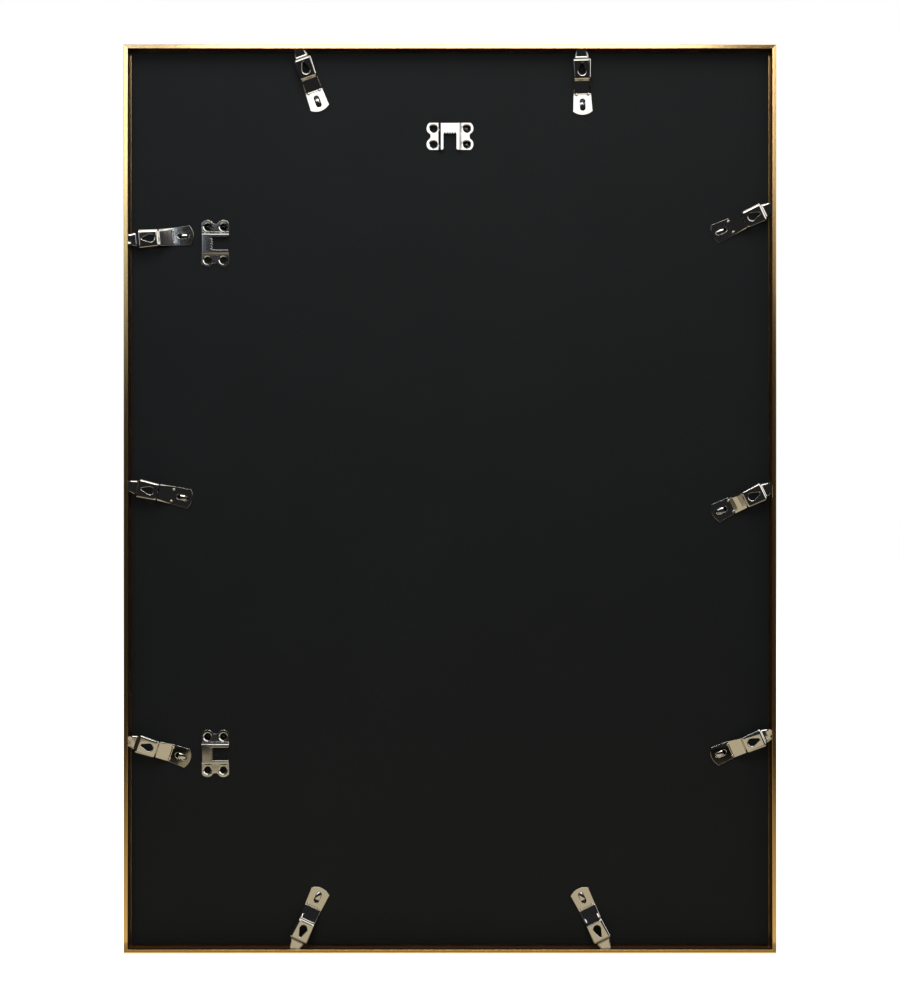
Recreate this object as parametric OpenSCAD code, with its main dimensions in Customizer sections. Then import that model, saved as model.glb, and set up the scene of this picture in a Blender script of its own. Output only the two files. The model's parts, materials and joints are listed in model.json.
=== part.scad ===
// Metal picture frame with a clipped back panel.
// X runs to the right and Z up as the back is seen, and Y runs from the back to the front.
// The origin is the centre of the frame. All sizes are in millimetres.

/* [Picture format] */
// Width of the picture, the glazing and the back panel
sheet_w = 500; // [440:5:700]
// Height of the picture, the glazing and the back panel
sheet_h = 700; // [620:5:1000]
// Thickness of the glazing
glazing_t = 2; // [1.5:0.1:3]
// Thickness of the picture sheet
picture_t = 0.5; // [0.2:0.1:1]
// Thickness of the back panel
panel_t = 3; // [2.5:0.1:4]

/* [Rails] */
// Depth of the frame from the wall to its face
rail_depth = 17; // [16:0.5:24]
// Width of the narrow back edge, which is also the thickness of the rail's hollow wall
back_edge_w = 3.2; // [3:0.1:5]
// Thickness of the metal behind the clip groove
back_edge_t = 1.2; // [1:0.1:1.4]
// Width of the front face
face_w = 8; // [7:0.5:14]
// Thickness of the lip that holds the glazing
lip_t = 1.5; // [1.2:0.1:2]
// Thickness of the outer wall
outer_wall_t = 0.9; // [0.7:0.1:1]
// Thickness of the inner wall and of the web under the groove
inner_wall_t = 0.8; // [0.6:0.1:0.9]
// Height of the groove that takes the clips' tongues
groove_h = 3; // [2.6:0.1:3.4]
// Flat broken on the long outer edges
edge_break = 0.4; // [0.2:0.05:0.6]
// Gap between the edge of the sheets and the rails' inner walls
sheet_gap = 1.3; // [1:0.1:2]

/* [Corner keys] */
// Length of each arm of a corner key
key_arm = 42; // [25:1:60]
// Clearance all round a corner key in the rails' hollow wall
key_clearance = 0.1; // [0.05:0.01:0.2]

/* [Clips] */
// Thickness of the clips' spring steel
clip_t = 0.8; // [0.6:0.05:1]
// Width of a clip at the bend of its foot
bend_w = 13.9; // [13:0.1:15]
// Width of a clip's waist
waist_w = 12.3; // [11.5:0.1:13.2]
// Width of the plate at the step
plate_w = 13.5; // [12.8:0.1:14.2]
// Width of a clip at its rounded end
clip_end_w = 15.6; // [15:0.1:17]
// Radius of the rounded end
clip_end_r = 12; // [10:0.5:14]
// Distance from the pivot to the rounded end
pivot_to_end = 8.5; // [8:0.1:9]
// Distance from the pivot to the bend of the foot
pivot_to_bend = 7.8; // [7:0.1:8.5]
// Length of the plain sloping part
slope_l = 9.4; // [8.5:0.1:10]
// Length of the offset between its two bends
offset_l = 2.9; // [2:0.1:3.5]
// Length of the square plate
plate_l = 13.3; // [12.5:0.1:14]
// Length of the step before the tongue
step_l = 1.4; // [1.2:0.1:2.4]
// Distance from the pivot to the rail along the clip
pivot_to_rail = 42; // [41:0.1:43]
// Length of the tongue inside the groove
tongue_grip = 1.8; // [1.4:0.05:1.9]
// Width of the tongue where it leaves the step
tongue_root_w = 10.4; // [9.4:0.1:11.4]
// Width that the tongue tapers to at its tip
tongue_end_w = 5.8; // [5:0.1:6.4]
// Radius of the tongue's tip
tongue_tip_r = 4.2; // [4:0.1:4.6]
// Length of the drop-shaped hole in the plate
drop_l = 9.4; // [8:0.1:10]
// Width of the drop-shaped hole
drop_w = 5.9; // [5:0.1:7]
// Radius of the narrow end of the drop-shaped hole
drop_tip_r = 1; // [0.8:0.1:1.4]
// Gap between a clip and the panel, and between a tongue and the back edge
clip_gap = 0.3; // [0.25:0.05:0.4]
// Radius of the barrel that a clip turns on
barrel_r = 3.6; // [3.4:0.1:4]
// Running clearance of the barrel in the panel
barrel_clearance = 0.05; // [0.02:0.01:0.09]
// Radius of the foot clinched behind the panel
foot_r = 4.8; // [4.4:0.1:5.4]
// Thickness of the clinched foot
foot_t = 0.6; // [0.5:0.05:0.7]
// Depth of the pocket that hides the foot
pocket_depth = 1.1; // [1.05:0.05:1.3]
// Gap round the foot in its pocket
pocket_gap = 0.4; // [0.3:0.05:0.6]
// Radius of the hole punched in the foot of a clip
punch_r = 2.1; // [1.8:0.05:2.2]
// Length of the rolled tongue behind the hole
roll_l = 3; // [2.4:0.1:3.2]
// Width of the rolled tongue
roll_w = 3.6; // [3:0.1:4.4]
// Height of the rolled tongue above the foot
roll_h = 0.9; // [0.6:0.05:1.1]

/* [Clip places] */
// Place of the upper left clip along the top rail
top_left_x = -104; // [-150:1:-60]
// Lean of the upper left clip
top_left_lean = 20; // [16:1:26]
// Place of the upper right clip along the top rail
top_right_x = 104; // [60:1:150]
// Lean of the upper right clip
top_right_lean = 2; // [-6:1:6]
// Height of the upper clip on the left rail
left_upper_z = 206; // [195:1:230]
// Lean of the upper clip on the left rail
left_upper_lean = 5; // [-6:1:6]
// Height of the middle clip on the left rail
left_middle_z = 1; // [-40:1:40]
// Lean of the middle clip on the left rail
left_middle_lean = -13; // [-20:1:-8]
// Height of the lower clip on the left rail
left_lower_z = -202; // [-230:1:-190]
// Lean of the lower clip on the left rail
left_lower_lean = -19; // [-26:1:-14]
// Height of the upper clip on the right rail
right_upper_z = 210; // [190:1:230]
// Lean of the upper clip on the right rail
right_upper_lean = 25; // [20:1:27]
// Height of the middle clip on the right rail
right_middle_z = -9; // [-40:1:40]
// Lean of the middle clip on the right rail
right_middle_lean = 26; // [20:1:27]
// Height of the lower clip on the right rail
right_lower_z = -200; // [-230:1:-190]
// Lean of the lower clip on the right rail
right_lower_lean = 24; // [20:1:27]
// Place of the lower left clip along the bottom rail
bottom_left_x = -104; // [-150:1:-60]
// Lean of the lower left clip
bottom_left_lean = -25; // [-27:1:-20]
// Place of the lower right clip along the bottom rail
bottom_right_x = 104; // [60:1:150]
// Lean of the lower right clip
bottom_right_lean = 26; // [20:1:27]

/* [Hangers] */
// Length of a hanger plate
hanger_l = 37; // [35:0.5:40]
// Height of a hanger plate
hanger_h = 21.5; // [20.5:0.5:24]
// Thickness of a hanger plate
hanger_t = 1; // [0.8:0.1:1.2]
// Distance between a hanger's burr holes along it
burr_pitch_l = 26.1; // [25.5:0.1:27]
// Distance between a hanger's burr holes across it
burr_pitch_h = 12.4; // [11.5:0.1:13]
// Radius of a burr's mouth
burr_mouth_r = 3.5; // [3.1:0.05:3.8]
// Radius of a burr's bore
burr_bore_r = 2.5; // [2.2:0.05:2.8]
// Wall of a burr
burr_wall = 0.45; // [0.3:0.05:0.6]
// Clearance between a burr and its hole in the panel
burr_clearance = 0.05; // [0.02:0.01:0.1]
// Thickness of board left under a burr's hole
burr_floor = 0.5; // [0.4:0.05:0.8]
// Width of the raised middle of a hanger
raised_w = 15.6; // [14.5:0.1:16.5]
// Height by which the middle is raised
raised_h = 1.8; // [1.2:0.1:2.4]
// Length of the slope at each side of the raised middle
fold_l = 1.6; // [1.2:0.1:2]
// Width of the hanging slot
slot_w = 10; // [9:0.1:11]
// Height of the crossbar above the slot
crossbar_h = 7.6; // [6:0.1:8.5]
// Number of teeth under the crossbar
teeth = 5; // [3:1:6]
// Depth of the teeth
tooth_depth = 1; // [0.6:0.1:1.4]
// Radius of the hollow at each end of the plate
end_hollow_r = 3.2; // [2.6:0.1:3.4]
// Depth of the hollow at each end of the plate
end_hollow_depth = 3; // [2:0.1:3.2]
// Corner cut off the two ends of the slot's legs
leg_corner = 0.8; // [0.4:0.1:1.2]
// Distance from the edge of the panel to the middle of a hanger
hanger_inset = 66; // [62:1:90]
// Distance between the two hangers on the left
side_hanger_pitch = 400; // [360:1:440]

/* [Hidden] */
$fn = 48;

// Overrun of every cut past the face it opens
cut = 1;

// Directions in which a clip or a hanger can point, seen from behind
TO_RIGHT = 0;
TO_TOP = 90;
TO_LEFT = 180;
TO_BOTTOM = 270;

// Outer size of the frame
outer_w = sheet_w + 2 * (sheet_gap + back_edge_w);
outer_h = sheet_h + 2 * (sheet_gap + back_edge_w);

// Distance from the centre to the rails' inner walls
wall_x = outer_w / 2 - back_edge_w;
wall_z = outer_h / 2 - back_edge_w;

// Depths, from the back edge towards the face
groove_back = back_edge_t;
groove_front = groove_back + groove_h;
hollow_back = groove_front + inner_wall_t;
hollow_front = rail_depth - lip_t;
hollow_w = back_edge_w - outer_wall_t - inner_wall_t;
glazing_back = hollow_front - glazing_t;
picture_back = glazing_back - picture_t;
panel_back = picture_back - panel_t;

// Places of the same depths in the part's own frame
back_y = -rail_depth / 2;
panel_y = back_y + panel_back;

// Stations along a clip, counted from its pivot towards the rail
slope_end = pivot_to_bend + slope_l;
plate_start = slope_end + offset_l;
plate_end = plate_start + plate_l;
tongue_start = plate_end + step_l;
tongue_end = pivot_to_rail + tongue_grip;
tongue_tip_s = tongue_end - tongue_tip_r;

// Heights of a clip's under face above the panel
foot_height = clip_gap;
tongue_height = panel_back - back_edge_t - clip_gap - clip_t;
clip_rise = tongue_height - foot_height;
// Shares of the rise reached at the end of the slope, of the offset and of the plate, and at the
// start of the tongue, which lies below the plate and rises to its tip
rise_shares = [0.52, 0.90, 1.07, 0.92];

// Barrel and clinched foot of a clip, below the panel's back face
pocket_shoulder = panel_t - pocket_depth;
foot_face = panel_t - clip_gap;

// Punched hole, rolled tongue and slit in the foot of a clip, from the bend towards the rounded end
punch_margin = 0.5;
punch_s = barrel_r - punch_margin - punch_r;
punch_depth = clip_t + panel_t / 2;
roll_gap = 0.2;
roll_s = punch_s - punch_r - roll_gap - roll_l / 2;
roll_r = (pow(roll_l / 2, 2) + pow(roll_h, 2)) / (2 * roll_h);
slit_w = 0.8;
slit_s = roll_s - roll_l / 2 - roll_gap - slit_w;

// Drop-shaped hole, centred in the plate
drop_round_r = drop_w / 2;
drop_round_s = plate_start + (plate_l - drop_l) / 2 + drop_round_r;
drop_tip_s = plate_start + (plate_l + drop_l) / 2 - drop_tip_r;
// Share of the two radii at which the hole's straight sides start and end
drop_side_share = 0.94;

// Burr of a hanger
burr_r = burr_bore_r + burr_wall;
burr_hole_l = panel_t - burr_floor;
burr_l = burr_hole_l - clip_gap;

// Where the hanging slot ends under the crossbar
slot_top = hanger_h / 2 - crossbar_h;
tooth_pitch = slot_w / teeth;

function unit(v) = v / norm(v);
function left_of(v) = [-v.y, v.x];
// The same line moved to its left by a sheet's thickness
function offset_line(p, t) = [
    for (k = [0 : len(p) - 1])
        let (a = left_of(unit(p[max(k, 1)] - p[max(k, 1) - 1])),
             last = len(p) - 1,
             b = left_of(unit(p[min(k, last - 1) + 1] - p[min(k, last - 1)])))
            p[k] + t * (a + b) / (1 + a * b)
];
function reversed(p) = [for (k = [len(p) - 1 : -1 : 0]) p[k]];
// A bent sheet seen from its side: its under face, and its upper face a thickness away
function bent_sheet(under, t) = concat(under, reversed(offset_line(under, t)));

// Draws a shape along Y, from the given depth below the back edge of the frame
module at_depth(depth, thickness) {
    translate([0, back_y + depth + thickness, 0])
        rotate([90, 0, 0])
            linear_extrude(height = thickness)
                children();
}

// Sets a piece on the panel's back face, turned to a direction, with its own Z away from the panel
module on_panel(x, z, direction) {
    translate([x, panel_y, z])
        rotate([0, -direction, 0])
            rotate([90, 0, 0])
                children();
}

// Section of a rail: first the depth from the back edge, then the distance in from the outer face
module rail_section() {
    difference() {
        polygon([
            [edge_break, 0],
            [rail_depth - edge_break, 0],
            [rail_depth, -edge_break],
            [rail_depth, -face_w],
            [hollow_front, -face_w],
            [hollow_front, -back_edge_w],
            [0, -back_edge_w],
            [0, -edge_break]
        ]);
        translate([groove_back, -back_edge_w - cut])
            square([groove_h, back_edge_w + cut - outer_wall_t]);
        translate([hollow_back, -outer_wall_t - hollow_w])
            square([hollow_front - hollow_back, hollow_w]);
    }
}

// A rail of the given outer length, mitred at both ends, with its outer face up
module rail(length) {
    mitre = face_w + cut;
    intersection() {
        translate([-length / 2, back_y, 0])
            rotate([90, 0, 90])
                linear_extrude(height = length)
                    rail_section();
        at_depth(-cut, rail_depth + 2 * cut)
            polygon([
                [-length / 2, 0],
                [length / 2, 0],
                [length / 2 - mitre, -mitre],
                [-length / 2 + mitre, -mitre]
            ]);
    }
}

module rail_top() {
    color("#d9b56b")
        translate([0, 0, outer_h / 2])
            rail(outer_w);
}

module rail_bottom() {
    color("#d9b56b")
        translate([0, 0, -outer_h / 2])
            rotate([0, 180, 0])
                rail(outer_w);
}

module rail_left() {
    color("#d9b56b")
        translate([-outer_w / 2, 0, 0])
            rotate([0, -90, 0])
                rail(outer_h);
}

module rail_right() {
    color("#d9b56b")
        translate([outer_w / 2, 0, 0])
            rotate([0, 90, 0])
                rail(outer_h);
}

// An angle of flat steel in the hollow walls of two rails; the signs say which corner it fills
module corner_key(side_x, side_z) {
    inset = outer_wall_t + key_clearance;
    key_w = hollow_w - 2 * key_clearance;
    key_h = hollow_front - hollow_back - 2 * key_clearance;
    color("#8f9193")
        at_depth(hollow_back + key_clearance, key_h)
            translate([side_x * (outer_w / 2 - inset), side_z * (outer_h / 2 - inset)])
                polygon([
                    [0, 0],
                    [-side_x * key_arm, 0],
                    [-side_x * key_arm, -side_z * key_w],
                    [-side_x * key_w, -side_z * key_w],
                    [-side_x * key_w, -side_z * key_arm],
                    [0, -side_z * key_arm]
                ]);
}

module corner_key_top_left() {
    corner_key(-1, 1);
}

module corner_key_top_right() {
    corner_key(1, 1);
}

module corner_key_bottom_left() {
    corner_key(-1, -1);
}

module corner_key_bottom_right() {
    corner_key(1, -1);
}

// Outline of the glazing, the picture and the panel
module sheet_outline() {
    square([sheet_w, sheet_h], center = true);
}

module glazing() {
    color("#dfe9ea", 0.35)
        at_depth(glazing_back, glazing_t)
            sheet_outline();
}

module picture_sheet() {
    color("#f1efe9")
        at_depth(picture_back, picture_t)
            sheet_outline();
}

// Hole and foot pocket of one clip, in the panel
module clip_seat() {
    translate([0, 0, -panel_t - cut])
        cylinder(r = barrel_r + barrel_clearance, h = panel_t + 2 * cut);
    translate([0, 0, -panel_t - cut])
        cylinder(r = foot_r + pocket_gap, h = pocket_depth + cut);
}

// The four blind burr holes of one hanger, in the panel
module hanger_seat() {
    for (x = [-burr_pitch_l / 2, burr_pitch_l / 2])
        for (z = [-burr_pitch_h / 2, burr_pitch_h / 2])
            translate([x, z, -burr_hole_l])
                cylinder(r = burr_r + burr_clearance, h = burr_hole_l + cut);
}

// Sets a clip or its seat beside a rail: side is the rail, along the place on it
module beside_rail(side, along, lean) {
    inset = pivot_to_rail * cos(lean);
    x = side == TO_LEFT ? -wall_x + inset : side == TO_RIGHT ? wall_x - inset : along;
    z = side == TO_BOTTOM ? -wall_z + inset : side == TO_TOP ? wall_z - inset : along;
    on_panel(x, z, side + lean)
        children();
}

// Each clip's or seat's place
module at_top_left() {
    beside_rail(TO_TOP, top_left_x, top_left_lean)
        children();
}

module at_top_right() {
    beside_rail(TO_TOP, top_right_x, top_right_lean)
        children();
}

module at_left_upper() {
    beside_rail(TO_LEFT, left_upper_z, left_upper_lean)
        children();
}

module at_left_middle() {
    beside_rail(TO_LEFT, left_middle_z, left_middle_lean)
        children();
}

module at_left_lower() {
    beside_rail(TO_LEFT, left_lower_z, left_lower_lean)
        children();
}

module at_right_upper() {
    beside_rail(TO_RIGHT, right_upper_z, right_upper_lean)
        children();
}

module at_right_middle() {
    beside_rail(TO_RIGHT, right_middle_z, right_middle_lean)
        children();
}

module at_right_lower() {
    beside_rail(TO_RIGHT, right_lower_z, right_lower_lean)
        children();
}

module at_bottom_left() {
    beside_rail(TO_BOTTOM, bottom_left_x, bottom_left_lean)
        children();
}

module at_bottom_right() {
    beside_rail(TO_BOTTOM, bottom_right_x, bottom_right_lean)
        children();
}

// Each hanger's place; a hanger at rest has its crossbar to its own left
module at_hanger_top() {
    on_panel(0, sheet_h / 2 - hanger_inset, 0)
        children();
}

module at_hanger_side_upper() {
    on_panel(-sheet_w / 2 + hanger_inset, side_hanger_pitch / 2, 90)
        children();
}

module at_hanger_side_lower() {
    on_panel(-sheet_w / 2 + hanger_inset, -side_hanger_pitch / 2, 90)
        children();
}

module back_panel() {
    color("#1d1d1c")
        difference() {
            at_depth(panel_back, panel_t)
                sheet_outline();
            at_top_left() clip_seat();
            at_top_right() clip_seat();
            at_left_upper() clip_seat();
            at_left_middle() clip_seat();
            at_left_lower() clip_seat();
            at_right_upper() clip_seat();
            at_right_middle() clip_seat();
            at_right_lower() clip_seat();
            at_bottom_left() clip_seat();
            at_bottom_right() clip_seat();
            at_hanger_top() hanger_seat();
            at_hanger_side_upper() hanger_seat();
            at_hanger_side_lower() hanger_seat();
        }
}

// Outline of a clip seen from behind, with the rail to its right
module clip_outline() {
    intersection() {
        polygon([
            [-pivot_to_end, -clip_end_w / 2],
            [pivot_to_bend, -bend_w / 2],
            [slope_end, -waist_w / 2],
            [plate_start, -waist_w / 2],
            [plate_end, -plate_w / 2],
            [tongue_start, -tongue_root_w / 2],
            [tongue_end + cut, -tongue_end_w / 2],
            [tongue_end + cut, tongue_end_w / 2],
            [tongue_start, tongue_root_w / 2],
            [plate_end, plate_w / 2],
            [plate_start, waist_w / 2],
            [slope_end, waist_w / 2],
            [pivot_to_bend, bend_w / 2],
            [-pivot_to_end, clip_end_w / 2]
        ]);
        union() {
            translate([clip_end_r - pivot_to_end, 0])
                circle(r = clip_end_r);
            translate([0, -clip_end_w / 2])
                square([tongue_tip_s, clip_end_w]);
            translate([tongue_tip_s, 0])
                circle(r = tongue_tip_r);
        }
    }
}

// A clip's under face seen from its side
module clip_side() {
    polygon(bent_sheet([
        [-pivot_to_end - cut, foot_height],
        [pivot_to_bend, foot_height],
        [slope_end, foot_height + rise_shares[0] * clip_rise],
        [plate_start, foot_height + rise_shares[1] * clip_rise],
        [plate_end, foot_height + rise_shares[2] * clip_rise],
        [tongue_start, foot_height + rise_shares[3] * clip_rise],
        [tongue_end + cut, tongue_height]
    ], clip_t));
}

// Drop-shaped hole with its narrow end towards the rail
module drop_outline() {
    wide = drop_round_r * drop_side_share;
    narrow = drop_tip_r * drop_side_share;
    translate([drop_round_s, 0])
        circle(r = drop_round_r);
    translate([drop_tip_s, 0])
        circle(r = drop_tip_r);
    polygon([
        [drop_round_s, wide],
        [drop_tip_s, narrow],
        [drop_tip_s, -narrow],
        [drop_round_s, -wide]
    ]);
}

// The low arch of the tongue rolled out of the punched hole, on the foot's upper face
module rolled_tongue(top) {
    intersection() {
        translate([roll_s, roll_w / 2, top + roll_h - roll_r])
            rotate([90, 0, 0])
                cylinder(r = roll_r, h = roll_w);
        translate([roll_s - roll_r, -roll_w, top - clip_t / 2])
            cube([2 * roll_r, 2 * roll_w, clip_t + roll_h]);
    }
}

// A turning clip on its own pivot, with the rail to its right and the panel's back face at zero height
module clip() {
    top = foot_height + clip_t;
    color("#c9cbcd")
        difference() {
            union() {
                intersection() {
                    linear_extrude(height = panel_back)
                        clip_outline();
                    translate([0, clip_end_w / 2, 0])
                        rotate([90, 0, 0])
                            linear_extrude(height = clip_end_w)
                                clip_side();
                }
                translate([0, 0, -foot_face])
                    cylinder(r = barrel_r, h = foot_face + foot_height + clip_t / 2);
                translate([0, 0, -foot_face])
                    cylinder(r = foot_r, h = foot_t);
                rolled_tongue(top);
            }
            translate([punch_s, 0, top - punch_depth])
                cylinder(r = punch_r, h = punch_depth + cut);
            translate([slit_s, -roll_w / 2, 0])
                cube([slit_w, roll_w, top + cut]);
            linear_extrude(height = panel_back)
                drop_outline();
        }
}

module clip_top_left() {
    at_top_left() clip();
}

module clip_top_right() {
    at_top_right() clip();
}

module clip_left_upper() {
    at_left_upper() clip();
}

module clip_left_middle() {
    at_left_middle() clip();
}

module clip_left_lower() {
    at_left_lower() clip();
}

module clip_right_upper() {
    at_right_upper() clip();
}

module clip_right_middle() {
    at_right_middle() clip();
}

module clip_right_lower() {
    at_right_lower() clip();
}

module clip_bottom_left() {
    at_bottom_left() clip();
}

module clip_bottom_right() {
    at_bottom_right() clip();
}

// Outline of a hanger plate seen from behind, with its crossbar up
module hanger_outline() {
    lobe_r = (hanger_l - burr_pitch_l) / 2;
    waist_l = hanger_l - 2 * end_hollow_depth;
    leg_w = (raised_w - slot_w) / 2;
    difference() {
        intersection() {
            square([hanger_l, hanger_h], center = true);
            union() {
                square([burr_pitch_l, hanger_h], center = true);
                square([waist_l, burr_pitch_h], center = true);
                for (x = [-burr_pitch_l / 2, burr_pitch_l / 2])
                    for (z = [-burr_pitch_h / 2, burr_pitch_h / 2])
                        translate([x, z])
                            circle(r = lobe_r);
            }
        }
        for (side = [-1, 1])
            translate([side * (waist_l / 2 + end_hollow_r), 0])
                circle(r = end_hollow_r);
        translate([-slot_w / 2, -hanger_h / 2 - cut])
            square([slot_w, hanger_h / 2 + cut + slot_top - tooth_depth]);
        for (k = [0 : teeth - 1])
            translate([-slot_w / 2 + k * tooth_pitch, slot_top - tooth_depth])
                polygon([[0, -tooth_depth], [tooth_pitch, -tooth_depth], [tooth_pitch, 0],
                         [tooth_pitch / 2, tooth_depth], [0, 0]]);
        for (side = [-1, 1])
            translate([side * slot_w / 2, -hanger_h / 2])
                polygon([[-side * cut, -leg_corner], [side * leg_corner, 0],
                         [0, leg_corner], [-side * cut, leg_corner]]);
    }
}

// A hanger plate seen from below: flat wings and a raised middle
module hanger_side() {
    polygon(bent_sheet([
        [-hanger_l / 2 - cut, 0],
        [-raised_w / 2 - fold_l / 2, 0],
        [-raised_w / 2 + fold_l / 2, raised_h],
        [raised_w / 2 - fold_l / 2, raised_h],
        [raised_w / 2 + fold_l / 2, 0],
        [hanger_l / 2 + cut, 0]
    ], hanger_t));
}

// A hanger plate on the panel, with its burrs in the panel
module hanger() {
    color("#b9bcbf")
        difference() {
            union() {
                intersection() {
                    linear_extrude(height = raised_h + hanger_t + cut)
                        hanger_outline();
                    translate([0, hanger_h / 2, 0])
                        rotate([90, 0, 0])
                            linear_extrude(height = hanger_h)
                                hanger_side();
                }
                for (x = [-burr_pitch_l / 2, burr_pitch_l / 2])
                    for (z = [-burr_pitch_h / 2, burr_pitch_h / 2])
                        translate([x, z, -burr_l])
                            cylinder(r = burr_r, h = burr_l + hanger_t / 2);
            }
            for (x = [-burr_pitch_l / 2, burr_pitch_l / 2])
                for (z = [-burr_pitch_h / 2, burr_pitch_h / 2])
                    translate([x, z, 0]) {
                        translate([0, 0, -burr_l - cut])
                            cylinder(r = burr_bore_r, h = burr_l + hanger_t + 2 * cut);
                        cylinder(r1 = burr_bore_r, r2 = burr_mouth_r, h = hanger_t);
                    }
        }
}

module hanger_top() {
    at_hanger_top() hanger();
}

module hanger_side_upper() {
    at_hanger_side_upper() hanger();
}

module hanger_side_lower() {
    at_hanger_side_lower() hanger();
}

rail_top();
rail_bottom();
rail_left();
rail_right();
corner_key_top_left();
corner_key_top_right();
corner_key_bottom_left();
corner_key_bottom_right();
glazing();
picture_sheet();
back_panel();
clip_top_left();
clip_top_right();
clip_left_upper();
clip_left_middle();
clip_left_lower();
clip_right_upper();
clip_right_middle();
clip_right_lower();
clip_bottom_left();
clip_bottom_right();
hanger_top();
hanger_side_upper();
hanger_side_lower();
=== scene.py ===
"""Looks of an upright picture frame in narrow gold metal, seen from behind.

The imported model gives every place. This script remodels the gold rails, the turning clips, the
pressed hangers and the glass pane in finer detail, gives the sheets and the corner keys their
finishes, and lights it all in a plain pale studio. Blender works in metres; pieces are shaped in
millimetres on a bench and brought to size when they are set in place.
"""

import json
import logging
import math
from contextlib import contextmanager
from dataclasses import dataclass, field
from enum import Enum
from typing import Any, Callable, Iterator

import bmesh
import bpy
from bpy.types import Material, Node, NodeSocket, NodeTree, Object, World
from mathutils import Matrix, Vector


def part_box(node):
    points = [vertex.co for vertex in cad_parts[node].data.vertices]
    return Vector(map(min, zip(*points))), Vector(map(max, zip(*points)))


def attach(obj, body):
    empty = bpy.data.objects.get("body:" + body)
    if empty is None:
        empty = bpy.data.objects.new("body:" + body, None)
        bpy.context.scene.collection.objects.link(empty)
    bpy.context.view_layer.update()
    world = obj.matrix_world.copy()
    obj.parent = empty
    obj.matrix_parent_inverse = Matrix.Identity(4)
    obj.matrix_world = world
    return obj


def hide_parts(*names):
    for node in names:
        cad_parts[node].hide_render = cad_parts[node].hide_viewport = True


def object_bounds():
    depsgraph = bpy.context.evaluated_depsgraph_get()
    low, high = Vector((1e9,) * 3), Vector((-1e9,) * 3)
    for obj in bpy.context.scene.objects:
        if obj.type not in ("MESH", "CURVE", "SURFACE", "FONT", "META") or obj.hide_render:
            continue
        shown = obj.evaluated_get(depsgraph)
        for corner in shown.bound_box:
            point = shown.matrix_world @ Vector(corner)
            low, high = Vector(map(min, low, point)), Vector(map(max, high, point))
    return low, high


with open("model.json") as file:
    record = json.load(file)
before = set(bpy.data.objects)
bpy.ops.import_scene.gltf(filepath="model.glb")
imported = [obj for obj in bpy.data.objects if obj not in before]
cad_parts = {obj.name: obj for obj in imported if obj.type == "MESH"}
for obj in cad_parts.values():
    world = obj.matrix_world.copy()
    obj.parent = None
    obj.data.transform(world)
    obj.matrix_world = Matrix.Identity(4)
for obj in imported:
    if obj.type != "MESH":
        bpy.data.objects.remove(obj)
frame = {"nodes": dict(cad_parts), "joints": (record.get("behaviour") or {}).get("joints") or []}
cad_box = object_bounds()

LOG = logging.getLogger("picture_frame")
MM = 0.001
# On the bench, in millimetres: what counts as the same place, and how far a tool reaches past
# the piece that it is used on.
NEAR = 1e-3
PAST = 1.0
# The least cosine of a direction that counts as along an axis, for edges and for bevelled faces.
ALONG = 0.99
FACING = 0.9

# Colours of what the metal mirrors.
WINDOW = (1.0, 0.985, 0.96)
COOL = (0.84, 0.98, 1.15)
PALE = (1.0, 0.99, 0.97)
WARM = (1.0, 0.9, 0.85)
TABLE = (0.62, 0.54, 0.38)

Test = Callable[[Vector, Vector], bool]
Row = tuple[float, float]
Colour = tuple[float, float, float]
Place = tuple[float, float, float]


class Part(Enum):
    """What a selection on the bench picks."""

    POINTS = "VERT"
    EDGES = "EDGE"
    FACES = "FACE"


class Join(Enum):
    """How a tool meets the body it is used on."""

    CUT = "DIFFERENCE"
    ADD = "UNION"
    KEEP = "INTERSECT"


class Grain(Enum):
    """The direction in which a rail's metal was drawn, as scales along X, Y and Z."""

    LEVEL = (0.02, 1.0, 1.0)
    UPRIGHT = (1.0, 1.0, 0.02)


class Side(Enum):
    """The rail that a clip points to, as its direction in degrees seen from behind."""

    RIGHT = 0
    TOP = 90
    LEFT = 180
    BOTTOM = 270


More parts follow.
